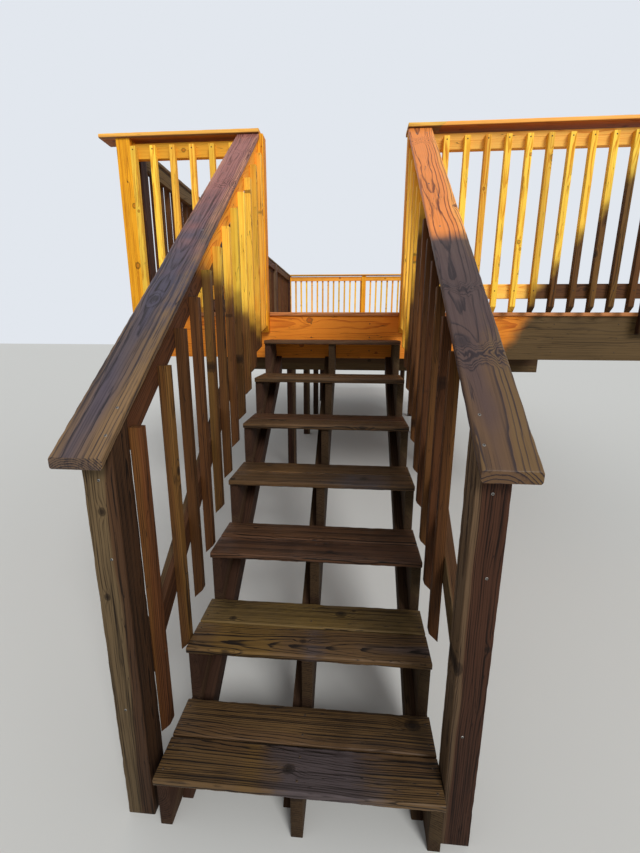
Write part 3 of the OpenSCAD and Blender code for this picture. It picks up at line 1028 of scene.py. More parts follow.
@dataclass
class Stick:
    """One length of timber: its points and faces, and the directions and size of its grain."""

    points: np.ndarray
    faces: list[list[int]]
    middle: np.ndarray = field(default_factory=lambda: np.zeros(3))
    axes: np.ndarray = field(default_factory=lambda: np.eye(3))
    half: np.ndarray = field(default_factory=lambda: np.zeros(3))

    def measure(self) -> None:
        """Finds the grain's direction from the longest edge and the thickness from the largest face."""
        longest, along = 0.0, np.array((1.0, 0.0, 0.0))
        widest, through = 0.0, np.array((0.0, 0.0, 1.0))
        for face in self.faces:
            ring = self.points[face]
            steps = np.roll(ring, -1, axis=0) - ring
            lengths = np.linalg.norm(steps, axis=1)
            best = int(lengths.argmax())
            if lengths[best] > longest + MARGIN:
                longest, along = lengths[best], steps[best] / lengths[best]
            normal = np.cross(ring, np.roll(ring, -1, axis=0)).sum(axis=0) / 2
            area = np.linalg.norm(normal)
            if area > widest + MARGIN:
                widest, through = area, normal / area
        through = through - along * float(through @ along)
        through = through / np.linalg.norm(through)
        axes = [along, np.cross(through, along), through]
        self.axes = np.array([a * (1.0 if a[int(np.abs(a).argmax())] > 0 else -1.0) for a in axes])
        local = self.points @ self.axes.T
        self.half = (local.max(axis=0) - local.min(axis=0)) / 2
        self.middle = ((local.max(axis=0) + local.min(axis=0)) / 2) @ self.axes

    def local(self, points: np.ndarray) -> np.ndarray:
        """Places along, across and through the length, from its middle."""
        return (points - self.middle) @ self.axes.T

    def spot(self, along: float, across: float) -> np.ndarray:
        """Place on the top face, from its middle."""
        return self.middle + self.axes[0] * along + self.axes[1] * across + self.axes[2] * self.half[2]

    def refine(self, ease: float, step: float) -> None:
        """Eases the sharp edges and cuts the length into stretches.

        Args:
            ease: width of the eased edge.
            step: greatest length of one stretch.
        """
        work = bmesh.new()
        verts = [work.verts.new(p) for p in self.points]
        for face in self.faces:
            work.faces.new([verts[i] for i in face])
        work.normal_update()
        sharp = [e for e in work.edges if e.is_manifold and e.calc_face_angle() > SHARP]
        bmesh.ops.bevel(work, geom=sharp, offset=ease, offset_type="OFFSET", segments=2, profile=ROUND,
                        affect="EDGES", clamp_overlap=False)
        cuts = int(2 * self.half[0] / step)
        for k in range(1, cuts):
            spot = self.middle + self.axes[0] * self.half[0] * (2 * k / cuts - 1)
            everything = work.verts[:] + work.edges[:] + work.faces[:]
            bmesh.ops.bisect_plane(work, geom=everything, dist=WELD, plane_co=spot, plane_no=self.axes[0])
        work.verts.index_update()
        self.points = np.array([v.co for v in work.verts])
        self.faces = [[v.index for v in f.verts] for f in work.faces]
        work.free()

    def rub(self, depth: float, draw: random.Random) -> None:
        """Rubs the long edges down unevenly, with a few deeper dents.

        Args:
            depth: how far an edge is rubbed back at most, apart from the dents.
            draw: source of the chance values.
        """
        local = self.local(self.points)
        along = local[:, 0]
        gap = self.half - np.abs(local)
        near = np.clip(1 - np.maximum(gap[:, 1], gap[:, 2]) / RUBBING.width, 0, 1)
        for side in (-1, 1):
            for face in (-1, 1):
                here = (np.sign(local[:, 1]) == side) & (np.sign(local[:, 2]) == face)
                waves = sum(math.sqrt(draw.uniform(0, 1))
                            * np.sin(along * draw.uniform(*RUBBING.wave_pace) + draw.uniform(0, RUBBING.turn))
                            for _ in range(RUBBING.waves))
                dents = sum(np.exp(-((along - draw.uniform(-1, 1) * self.half[0])
                                     / draw.uniform(*RUBBING.dent_length)) ** 2)
                            for _ in range(RUBBING.dents))
                share = RUBBING.evenly + RUBBING.wave_share * waves + RUBBING.dent_share * dents
                inward = near * here * depth * np.clip(share, 0, RUBBING.deepest)
                local[:, 1] -= side * inward
                local[:, 2] -= face * inward * RUBBING.through
        self.points = local @ self.axes + self.middle


def islands(work: bmesh.types.BMesh) -> list[list[bmesh.types.BMVert]]:
    """Groups the points of a mesh that edges join.

    Args:
        work: the mesh.

    Returns:
        The points of each group.
    """
    unseen = set(work.verts)
    found = []
    for seed in work.verts:
        if seed not in unseen:
            continue
        queue, island = [seed], []
        unseen.discard(seed)
        while queue:
            vert = queue.pop()
            island.append(vert)
            for edge in vert.link_edges:
                other = edge.other_vert(vert)
                if other in unseen:
                    unseen.discard(other)
                    queue.append(other)
        found.append(island)
    return found


def sticks_of(node: str) -> list[Stick]:
    """Splits a merged copy of a node into its lengths of timber.

    Args:
        node: name of the node.

    Returns:
        The lengths, measured, in the order of their places.
    """
    work = bmesh.new()
    work.from_mesh(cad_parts[node].data)
    bmesh.ops.remove_doubles(work, verts=work.verts, dist=WELD)
    bmesh.ops.dissolve_limit(work, angle_limit=FLAT, verts=work.verts, edges=work.edges)
    work.verts.index_update()
    found = []
    for island in islands(work):
        number = {v: i for i, v in enumerate(island)}
        faces = sorted({f for v in island for f in v.link_faces}, key=lambda f: f.index)
        stick = Stick(np.array([v.co for v in island]), [[number[v] for v in f.verts] for f in faces])
        stick.measure()
        found.append(stick)
    work.free()
    return sorted(found, key=lambda s: tuple(np.round(s.middle[[2, 1, 0]], 3)))


@dataclass(frozen=True)
class Knot:
    """A knot at a chosen place on a board: along its grain and across it from the middle, and its radius."""

    along: float
    across: float
    radius: float


class Tint(Enum):
    """Colour of a patch that runs across a board."""

    # Painted reflection of the sky, in purple-grey
    PURPLE = 0
    GOLDEN = 1
    DARK = 2


@dataclass(frozen=True)
class Patch:
    """A patch of another colour: its middle along the board, how far it reaches and how strong it is."""

    tint: Tint
    along: float
    reach: float
    strength: float = 1.0


@dataclass(frozen=True)
class Figure:
    """Where a board lies in its log, how fast the heart drifts, and where the rings ripple across it."""

    side: float
    depth: float
    drift: float
    whirls: tuple[float, float, float] = (0.0, 0.0, 0.0)
    ripple: float = 0.0
    patches: tuple[Patch, ...] = ()

    def tints(self, along: np.ndarray) -> np.ndarray:
        """Spreads the patches along the board.

        Args:
            along: place of each point along the board.

        Returns:
            Strength of each tint at each point.
        """
        values = np.zeros((len(along), len(Tint)))
        for patch in self.patches:
            shape = patch.strength * np.exp(-(((along - patch.along) / patch.reach) ** 2))
            values[:, patch.tint.value] = np.maximum(values[:, patch.tint.value], shape)
        return values


def put(mesh: bpy.types.Mesh, name: str, values: np.ndarray) -> None:
    """Stores a number or a vector at each point of a mesh.

    Args:
        mesh: the mesh.
        name: name of the attribute.
        values: one number or one row of three for each point.
    """
    kind, key = ("FLOAT", "value") if values.ndim == 1 else ("FLOAT_VECTOR", "vector")
    layer = mesh.attributes.get(name) or mesh.attributes.new(name, kind, "POINT")
    layer.data.foreach_set(key, np.asarray(values, np.float32).ravel())


def show(name: str, mesh: bpy.types.Mesh) -> bpy.types.Object:
    """Links a mesh to the scene as an object of its own.

    Args:
        name: name of the object.
        mesh: its mesh, in the model's frame.

    Returns:
        The object.
    """
    item = bpy.data.objects.new(name, mesh)
    bpy.context.scene.collection.objects.link(item)
    return item


@dataclass
class Yard:
    """Turns the solids of a node into one finished piece of timber."""

    effects: Effects
    narrow: float = 0.03
    narrow_knots: tuple[float, ...] = (0.0, 0.0, 0.006, 0.008)
    wide_knots: tuple[float, ...] = (0.0, 0.009, 0.013)
    knot_reach: tuple[float, float] = (0.8, 0.6)
    heart_reach: tuple[float, float] = (0.03, 1.1)
    heart_depth: tuple[float, float] = (0.03, 0.09)
    heart_drift: float = 0.03
    materials: dict[Wood, bpy.types.Material] = field(default_factory=dict)

    def finish_of(self, wood: Wood) -> bpy.types.Material:
        """The material of a finish, made when it is first wanted.

        Args:
            wood: the finish.

        Returns:
            Its material.
        """
        if wood not in self.materials:
            self.materials[wood] = wood.value.build(self.effects)
        return self.materials[wood]

    def log_place(self, draw: random.Random, half: np.ndarray) -> Figure:
        """Chance place of a board in its log: mostly flat sawn, with the heart below or above its face.

        Args:
            draw: source of the chance values.
            half: half of the board's length, width and thickness.

        Returns:
            The place.
        """
        least, share = self.heart_reach
        reach = max(least, half[1] * share)
        return Figure(draw.uniform(-reach, reach), draw.choice((-1, 1)) * draw.uniform(*self.heart_depth),
                      draw.uniform(-self.heart_drift, self.heart_drift))

    def chance_knot(self, draw: random.Random, half: np.ndarray) -> Knot:
        """Chance knot for a length of timber, which may also be clear.

        Args:
            draw: source of the chance values.
            half: half of the length, width and thickness.

        Returns:
            The knot, with no radius where the length is clear.
        """
        radius = draw.choice(self.narrow_knots if half[1] < self.narrow else self.wide_knots)
        along, across = self.knot_reach
        return Knot(draw.uniform(-along, along) * half[0], draw.uniform(-across, across) * half[1], radius)

    def lumber(self, node: str, wood: Wood, slot: str, line: SunShadeLine, shaping: Shaping = Shaping(),
               knots: dict[int, Knot] | None = None,
               figures: dict[int, Figure] | None = None) -> bpy.types.Object:
        """Dresses every length of a node and joins them in one piece that replaces the node.

        Args:
            node: name of the node.
            wood: its finish.
            slot: material slot of the record.
            line: where it turns from painted shade to painted sunlight.
            shaping: how each length is worked.
            knots: chosen knots by the number of the length.
            figures: chosen places in the log by the number of the length.

        Returns:
            The finished piece.
        """
        points, faces, start = [], [], 0
        values: dict[str, list[np.ndarray]] = {}
        for number, stick in enumerate(sticks_of(node)):
            draw = random.Random(f"{node} {number}")
            figure = (figures or {}).get(number) or self.log_place(draw, stick.half)
            knot = (knots or {}).get(number) or self.chance_knot(draw, stick.half)
            tone = (draw.random(), draw.random(), draw.random())
            stick.refine(shaping.ease, shaping.step)
            if shaping.rub:
                stick.rub(shaping.rub, draw)
            count = len(stick.points)
            points.append(stick.points)
            faces += [[i + start for i in face] for face in stick.faces]
            places = stick.local(stick.points)
            rows = {"size": stick.half, "axis": stick.axes[0], "whirl": figure.whirls, "tone": tone,
                    "pith": (figure.side, figure.depth, figure.drift),
                    "knot": (knot.along, knot.across, knot.radius)}
            carried = {key: np.tile(np.array(row, float), (count, 1)) for key, row in rows.items()}
            carried |= {"grain": places, "tint": figure.tints(places[:, 0]),
                        "ripple": np.full(count, figure.ripple)}
            for key, items in carried.items():
                values.setdefault(key, []).append(items)
            start += count
        mesh = bpy.data.meshes.new(f"{node}_wood")
        mesh.from_pydata(np.concatenate(points).tolist(), [], faces)
        for key, items in values.items():
            put(mesh, key, np.concatenate(items))
        return self.hand_over(mesh, node, wood, slot, line)

    def hand_over(self, mesh: bpy.types.Mesh, node: str, wood: Wood, slot: str,
                  line: SunShadeLine) -> bpy.types.Object:
        """Gives a finished mesh its shading and material, and puts it in the place of its node.

        Args:
            mesh: the finished mesh, in the model's frame.
            node: name of the node that it replaces.
            wood: its finish.
            slot: material slot of the record; not used.
            line: where it turns from painted shade to painted sunlight.

        Returns:
            The piece.
        """
        points = np.zeros(len(mesh.vertices) * 3, np.float32)
        mesh.vertices.foreach_get("co", points)
        put(mesh, "lift", line.lift(points.reshape(-1, 3)))
        mesh.shade_smooth()
        mesh.set_sharp_from_angle(angle=SHARP)
        mesh.materials.clear()
        mesh.materials.append(self.finish_of(wood))
        piece = show(f"{node}_wood", mesh)
        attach(piece, BODY)
        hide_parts(node)
        LOG.info("%s: %d points", piece.name, len(mesh.vertices))
        return piece


@dataclass
class Repeater:
    """A Geometry Nodes tree that repeats a shape on points, with the identifiers of its inputs by name."""

    tree: bpy.types.NodeTree
    keys: dict[str, str]

    def grow(self, points: np.ndarray, attributes: dict[str, np.ndarray],
             inputs: dict[str, object]) -> bpy.types.Mesh:
        """Runs the tree on loose points.

        Args:
            points: one row of coordinates for each point.
            attributes: values of each point by name.
            inputs: value of each input by its name.

        Returns:
            The plain mesh that it makes, with the points' attributes on it.
        """
        seeds = bpy.data.meshes.new("seeds")
        seeds.from_pydata(points.tolist(), [], [])
        for name, values in attributes.items():
            put(seeds, name, values)
        carrier = show("seeds", seeds)
        modifier = carrier.modifiers.new("grow", "NODES")
        modifier.node_group = self.tree
        for name, value in inputs.items():
            modifier[self.keys[name]] = value
        graph = bpy.context.evaluated_depsgraph_get()
        result = bpy.data.meshes.new_from_object(carrier.evaluated_get(graph), preserve_all_data_layers=True,
                                                 depsgraph=graph)
        carrier.modifiers.clear()
        bpy.data.objects.remove(carrier)
        return result


def baluster_tree() -> Repeater:
    """Makes the tree that sets one baluster on each point and leans it a little.

    Returns:
        The tree.
    """
    net, keys = Net.geometry("baluster_row", {"Baluster": "Object", "Lean": "Float", "Seed": "Int",
                                              "Finish": "Material"})
    info = net.add("GeometryNodeObjectInfo", {"Object": net.into("Baluster")})
    axis = net.add("GeometryNodeInputNamedAttribute", {"Name": "swing"}, data_type="FLOAT_VECTOR")
    chance = net.add("FunctionNodeRandomValue", {"Seed": net.into("Seed")}, data_type="FLOAT")
    low, high = chance.inputs[2], chance.inputs[3]
    low.default_value, high.default_value = -1.0, 1.0
    lean = net.times(net.into("Lean"), chance.outputs[1])
    turn = net.add("FunctionNodeAxisAngleToRotation", {"Axis": axis.outputs["Attribute"], "Angle": lean})
    place = net.add("GeometryNodeInstanceOnPoints", {
        "Points": net.into("Geometry"), "Rotation": turn.outputs[0], "Instance": info.outputs["Geometry"]})
    real = net.add("GeometryNodeRealizeInstances", {"Geometry": place.outputs[0]})
    paint = net.add("GeometryNodeSetMaterial", {"Geometry": real.outputs[0], "Material": net.into("Finish")})
    net.out("Geometry", paint.outputs[0])
    return Repeater(net.tree, keys)


@dataclass(frozen=True)
class ScrewShape:
    """A flat screw head with a cross recess: its shape as shares of its radius and height."""

    sides: int = 12
    top: float = 0.8
    bar: tuple[float, float, float] = (1.1, 0.22, 0.3)
    bar_lift: float = 0.93

    def recess_bar(self, net: Net, size: tuple[float, float, float]) -> Socket:
        """One bar of the cross, marked as hollow.

        Args:
            net: the tree's net.
            size: the bar's size as shares of the head's radius.

        Returns:
            The bar.
        """
        scaled = net.add("ShaderNodeVectorMath", {"Scale": net.into("Radius")}, operation="SCALE")
        net.feed(scaled.inputs[0], size)
        bar = net.add("GeometryNodeMeshCube", {"Size": scaled.outputs[0]})
        high = net.join(0.0, 0.0, net.times(net.into("Height"), self.bar_lift))
        lifted = net.add("GeometryNodeTransform", {"Geometry": bar.outputs["Mesh"], "Translation": high})
        feeds = {"Geometry": lifted.outputs[0], "Name": "hollow", "Value": True}
        marked = net.add("GeometryNodeStoreNamedAttribute", feeds, data_type="BOOLEAN", domain="FACE")
        return marked.outputs[0]

    def build(self) -> Repeater:
        """Makes the tree that sets a screw head on each point, facing the point's own direction.

        Returns:
            The tree.
        """
        net, keys = Net.geometry("screw_heads", {"Radius": "Float", "Height": "Float", "Steel": "Material",
                                                 "Recess": "Material"})
        radius = net.into("Radius")
        head = net.add("GeometryNodeMeshCone", {
            "Vertices": self.sides, "Radius Bottom": radius, "Radius Top": net.times(radius, self.top),
            "Depth": net.into("Height")})
        long, wide, high = self.bar
        bars = (self.recess_bar(net, (long, wide, high)), self.recess_bar(net, (wide, long, high)))
        whole = net.add("GeometryNodeJoinGeometry")
        for part in reversed((head.outputs["Mesh"], *bars)):
            net.feed(whole.inputs[0], part)
        facing = net.add("GeometryNodeInputNamedAttribute", {"Name": "facing"}, data_type="FLOAT_VECTOR")
        turn = net.add("FunctionNodeAlignRotationToVector", {"Vector": facing.outputs["Attribute"]}, axis="Z")
        place = net.add("GeometryNodeInstanceOnPoints", {
            "Points": net.into("Geometry"), "Rotation": turn.outputs[0], "Instance": whole.outputs[0]})
        real = net.add("GeometryNodeRealizeInstances", {"Geometry": place.outputs[0]})
        hollow = net.add("GeometryNodeInputNamedAttribute", {"Name": "hollow"}, data_type="BOOLEAN")
        steel = net.add("GeometryNodeSetMaterial", {
            "Geometry": real.outputs[0], "Material": net.into("Steel")})
        recess = net.add("GeometryNodeSetMaterial", {
            "Geometry": steel.outputs[0], "Material": net.into("Recess"),
            "Selection": hollow.outputs["Attribute"]})
        net.out("Geometry", recess.outputs[0])
        return Repeater(net.tree, keys)


@dataclass
class BalusterRow:
    """The balusters of one node, each a copy of the first one with its own grain, knots and lean."""

    yard: Yard
    repeater: Repeater
    lean: float = 0.0022
    shaping: Shaping = Shaping(ease=0.0012, step=0.3)
    knot_across: float = 0.003
    knot_radius: float = 0.010

    def pattern(self, first: Stick) -> bpy.types.Object:
        """Makes the one baluster that the row copies, about its own middle.

        Args:
            first: the first baluster of the row.

        Returns:
            The pattern.
        """
        first.refine(self.shaping.ease, self.shaping.step)
        count = len(first.points)
        mesh = bpy.data.meshes.new("one_baluster")
        mesh.from_pydata((first.points - first.middle).tolist(), [], first.faces)
        put(mesh, "grain", first.local(first.points))
        put(mesh, "size", np.tile(first.half, (count, 1)))
        put(mesh, "axis", np.tile(first.axes[0], (count, 1)))
        return show("one_baluster", mesh)

    def build(self, node: str, line: SunShadeLine, swing: Vector,
              heights: dict[int, float] | None = None) -> bpy.types.Object:
        """Builds the row.

        Args:
            node: name of the node.
            line: where the balusters turn from painted shade to painted sunlight.
            swing: direction that the lean turns about, square to the rails' faces.
            heights: height above the ground of a chosen knot by the number of the baluster.

        Returns:
            The finished piece.
        """
        sticks = sticks_of(node)
        half = sticks[0].half
        shape = self.pattern(sticks[0])
        draw = random.Random(node)
        logs = [self.yard.log_place(draw, half) for _ in sticks]
        knots = [self.yard.chance_knot(draw, half) for _ in sticks]
        for number, height in (heights or {}).items():
            knots[number] = Knot(height - sticks[number].middle[2], self.knot_across, self.knot_radius)
        attributes = {
            "pith": np.array([(f.side, f.depth, f.drift) for f in logs]),
            "knot": np.array([(k.along, k.across, k.radius) for k in knots]),
            "tone": np.array([(draw.random(), draw.random(), draw.random()) for _ in sticks]),
            "swing": np.tile(np.array(swing), (len(sticks), 1)),
        }
        inputs = {"Baluster": shape, "Lean": self.lean, "Seed": len(sticks),
                  "Finish": self.yard.finish_of(Wood.BALUSTER)}
        result = self.repeater.grow(np.array([s.middle for s in sticks]), attributes, inputs)
        bpy.data.objects.remove(shape)
        result.name = f"{node}_wood"
        return self.yard.hand_over(result, node, Wood.BALUSTER, "baluster_wood", line)


@dataclass
class Flight:
    """Cut stringers, their braces and the treads."""

    yard: Yard
    treads: int = 7
    olive_treads: int = 2
    framing: tuple[str, ...] = ("stringer_left", "stringer_center", "stringer_right", "stringer_braces")
    framing_shaping: Shaping = Shaping(ease=0.002)
    tread_shaping: Shaping = Shaping(ease=0.002, step=0.015, rub=0.0016)
    knots: dict[str, dict[int, Knot]] = field(default_factory=lambda: {
        "tread_1": {0: Knot(-0.03, -0.004, 0.012), 1: Knot(0.376, 0.03, 0.016)},
        "tread_2": {0: Knot(-0.02, 0.0, 0.008), 1: Knot(0.116, 0.015, 0.013)},
        "tread_3": {0: Knot(0.062, -0.02, 0.01), 1: Knot(-0.3, 0.02, 0.006)},
    })
    figures: dict[str, dict[int, Figure]] = field(default_factory=lambda: {
        "tread_1": {
            0: Figure(0.08, -0.07, 0.02, patches=(Patch(Tint.PURPLE, 0.07, 0.19),
                                                  Patch(Tint.GOLDEN, -0.15, 0.05, 0.6))),
            1: Figure(-0.09, -0.06, -0.02, patches=(Patch(Tint.DARK, 0.2, 0.3, 0.6),))},
        "tread_2": {
            0: Figure(-0.02, -0.045, 0.03, patches=(Patch(Tint.GOLDEN, -0.24, 0.16),
                                                    Patch(Tint.PURPLE, 0.02, 0.07, 0.5))),
            1: Figure(0.1, -0.06, 0.01, patches=(Patch(Tint.GOLDEN, -0.05, 0.3, 0.5),))},
        "tread_3": {
            0: Figure(0.09, -0.05, 0.02, patches=(Patch(Tint.DARK, -0.1, 0.12, 0.5),)),
            1: Figure(-0.08, -0.07, -0.01)},
        "tread_4": {
            0: Figure(-0.1, -0.05, 0.02, patches=(Patch(Tint.PURPLE, 0.2, 0.2, 0.6),)),
            1: Figure(0.07, -0.07, 0.0, patches=(Patch(Tint.GOLDEN, -0.2, 0.2, 0.6),))},
        "tread_5": {0: Figure(0.1, -0.06, 0.01), 1: Figure(-0.09, -0.05, 0.02)},
        "tread_6": {0: Figure(-0.08, -0.06, 0.0), 1: Figure(0.1, -0.06, 0.0)},
    })

    def build(self) -> None:
        """Dresses the flight."""
        # Stringers, braces and treads are painted in shade all over
        for name in self.framing:
            self.yard.lumber(name, Wood.FRAMING, "framing_wood", PAINTED_SHADE, self.framing_shaping)
        for number in range(1, self.treads + 1):
            name = f"tread_{number}"
            wood = Wood.TREAD if number <= self.olive_treads else Wood.UPPER_TREAD
            self.yard.lumber(name, wood, "tread_wood", PAINTED_SHADE, self.tread_shaping, self.knots.get(name),
                             self.figures.get(name))


class Side(Enum):
    """The two sides of the stair."""

    LEFT = "left"
    RIGHT = "right"


@dataclass(frozen=True)
class GuardLook:
    """What one stair guard shows: the figure, knots and painted shade of its cap, newel, rails and balusters.

    The newel's knot is given by its place across the stair, its height and its radius, and the balusters'
    knots by their heights.
    """

    cap_wood: Wood
    cap_knot: Knot
    cap_figure: Figure
    cap_line: SunShadeLine
    newel_knot: tuple[float, float, float]
    newel_figure: Figure
    line: SunShadeLine
    baluster_knots: dict[int, float]


# cap_line and line are where painted shade gives way to painted sunlight, along cast shadow edges
GUARD_LOOKS = {
    Side.LEFT: GuardLook(
        cap_wood=Wood.LEFT_CAP,
        cap_knot=Knot(-0.525, -0.016, 0.011),
        cap_figure=Figure(-0.01, -0.078, 0.01, (0.47, 0.9, 5.0), 0.009,
                          (Patch(Tint.PURPLE, -0.35, 0.5, 0.6),)),
        cap_line=SunShadeLine(2.05),
        newel_knot=(-0.518, 1.075, 0.008),
        newel_figure=Figure(0.055, 0.012, 0.008),
        line=SunShadeLine(2.0, climb_y=-0.27),
        baluster_knots={1: 1.08, 2: 1.66, 5: 1.69}),
    Side.RIGHT: GuardLook(
        cap_wood=Wood.CAP,
        cap_knot=Knot(-0.742, -0.045, 0.018),
        cap_figure=Figure(-0.025, -0.0805, 0.015, (-0.80, -0.46, 0.99), 0.032,
                          (Patch(Tint.PURPLE, -0.46, 0.36, 0.9),)),
        cap_line=SunShadeLine(1.917),
        newel_knot=(0.52, 0.72, 0.006),
        newel_figure=Figure(0.05, -0.02, 0.01),
        line=SunShadeLine(4.3, climb_y=-2.0),
        baluster_knots={0: 1.0, 3: 1.3}),
}


@dataclass
class StairGuard:
    """Newel, sloped cap, rails and balusters on one side of the stair."""

    yard: Yard
    row: BalusterRow
    side: Side
    newel_shaping: Shaping = Shaping(step=0.02, rub=0.001)
    cap_shaping: Shaping = Shaping(ease=0.002, step=0.015, rub=0.0013)

    def newel_knot(self) -> Knot:
        """The chosen knot of the newel's front face.

        Returns:
            The knot, from the newel's middle.
        """
        low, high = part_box(f"newel_{self.side.value}")
        x, z, radius = GUARD_LOOKS[self.side].newel_knot
        return Knot(z - (low.z + high.z) / 2, x - (low.x + high.x) / 2, radius)

    def build(self) -> None:
        """Dresses the guard."""
        side, look = self.side.value, GUARD_LOOKS[self.side]
        # The newel is painted in shade; cap, rails and balusters turn from painted shade to painted sunlight
        # at their lines
        self.yard.lumber(f"newel_{side}", Wood.POST, "post_wood", PAINTED_SHADE, self.newel_shaping,
                         {0: self.newel_knot()}, {0: look.newel_figure})
        self.yard.lumber(f"stair_cap_{side}", look.cap_wood, "cap_wood", look.cap_line, self.cap_shaping,
                         {0: look.cap_knot}, {0: look.cap_figure})
        self.yard.lumber(f"stair_rails_{side}", Wood.RAIL, "rail_wood", look.line)
        self.row.build(f"stair_balusters_{side}", look.line, Vector((1, 0, 0)), look.baluster_knots)


@dataclass(frozen=True)
class GuardRun:
    """One level guard: its name, where its painted shade turns to painted sunlight, what its balusters lean
    about, and its finishes.
    """

    name: str
    line: SunShadeLine
    swing: tuple[float, float, float]
    rail: Wood = Wood.RAIL
    cap: Wood = Wood.LEVEL_CAP
    # Whether the cap is painted in shade all over
    damp_cap: bool = False


@dataclass
class LevelGuards:
    """Posts, rails, balusters and caps round the deck."""

    yard: Yard
    row: BalusterRow
    cap_shaping: Shaping = Shaping(ease=0.002, step=0.03, rub=0.001)
    underside_shade: float = 0.004
    # Edge of a painted shadow that climbs across the right of the deck
    shade: SunShadeLine = SunShadeLine(-0.033, climb_x=1.43)
    stair_post_line: SunShadeLine = SunShadeLine(1.5)

    def posts(self) -> None:
        """Dresses the posts."""
        # Posts painted in sunlight, in shade all over, or in shade past a painted shadow edge
        for name in ("stair_post_left", "corner_post", "back_guard_posts"):
            self.yard.lumber(name, Wood.POST, "post_wood", PAINTED_SUN)
        self.yard.lumber("left_guard_posts", Wood.POST, "post_wood", PAINTED_SHADE)
        self.yard.lumber("stair_post_right", Wood.POST, "post_wood", self.stair_post_line)
        self.yard.lumber("end_post", Wood.POST, "post_wood", self.shade)

    def build(self) -> None:
        """Dresses the four guards and their posts."""
        across, ahead = (0, 1, 0), (1, 0, 0)
        # Guards painted in sunlight, past a painted shadow edge at the right, or in shade all over at the
        # left
        for run in (GuardRun("front_left", PAINTED_SUN, across),
                    GuardRun("front_right", self.shade, across, rail=Wood.PALE_RAIL),
                    GuardRun("left_guard", PAINTED_SHADE, ahead, cap=Wood.SHADED_CAP, damp_cap=True),
                    GuardRun("back_guard", PAINTED_SUN, across)):
            self.yard.lumber(f"{run.name}_rails", run.rail, "rail_wood", run.line)
            self.row.build(f"{run.name}_balusters", run.line, Vector(run.swing))
            cap = f"{run.name}_cap"
            # The cap's underside below this line is painted in shade, and the left guard's cap all over
            line = PAINTED_SHADE if run.damp_cap else SunShadeLine(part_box(cap)[0].z + self.underside_shade)
            self.yard.lumber(cap, run.cap, "cap_wood", line, self.cap_shaping)
        self.posts()


@dataclass
class Deck:
    """Rims, ledger, joists, beams, posts and boards."""

    yard: Yard
    framing_shaping: Shaping = Shaping(step=1.0)
    board_shaping: Shaping = Shaping(step=1.2)
    # Edge of a painted shadow across the front rim
    shade: SunShadeLine = SunShadeLine(-0.2, climb_x=1.43)

    def build(self) -> None:
        """Dresses the deck."""
        # Rims and boards are painted in sunlight or past a painted shadow edge, framing and posts in shade
        # all over
        self.yard.lumber("front_rim", Wood.RIM, "rim_wood", self.shade)
        for name in ("back_rim", "left_rim"):
            self.yard.lumber(name, Wood.RIM, "rim_wood", PAINTED_SUN)
        for name in ("ledger", "joists", "beams"):
            self.yard.lumber(name, Wood.FRAMING, "framing_wood", PAINTED_SHADE, self.framing_shaping)
        self.yard.lumber("deck_posts", Wood.POST, "post_wood", PAINTED_SHADE)
        self.yard.lumber("deck_boards", Wood.DECK, "deck_wood", PAINTED_SUN, self.board_shaping)


@dataclass(frozen=True)
class Metal:
    """Dull metal with a cloudy tarnish."""

    name: str
    colour: Colour
    metallic: float
    roughness: float
    dim: float = 0.55
    cloud_scale: float = 240.0
    cloud_edge: tuple[float, float] = (0.35, 0.65)
    cloud_roughness: float = 0.25

    def build(self) -> bpy.types.Material:
        """Makes the material.

        Returns:
            The finished material.
        """
        material, net, inputs = Net.material(self.name)
        cloud = net.noise(net.add("ShaderNodeTexCoord").outputs["Object"], self.cloud_scale)
        dimmed = tuple(self.dim * share for share in self.colour)
        net.feed(inputs["Base Color"], net.mix(net.ease(cloud, *self.cloud_edge), dimmed, self.colour))
        net.feed(inputs["Roughness"], net.scaled(cloud, self.cloud_roughness, self.roughness))
        net.feed(inputs["Metallic"], self.metallic)
        return material


class Steel(Enum):
    """The metals of the screws: bright heads, heads under the stain, and the dark hollow of the recess."""

    BRIGHT = Metal("screw_steel", rgb(150, 146, 140), 0.9, 0.35)
    STAINED = Metal("stained_screw", rgb(84, 66, 48), 0.3, 0.6)
    RECESS = Metal("screw_recess", rgb(30, 27, 25), 0.2, 0.8)


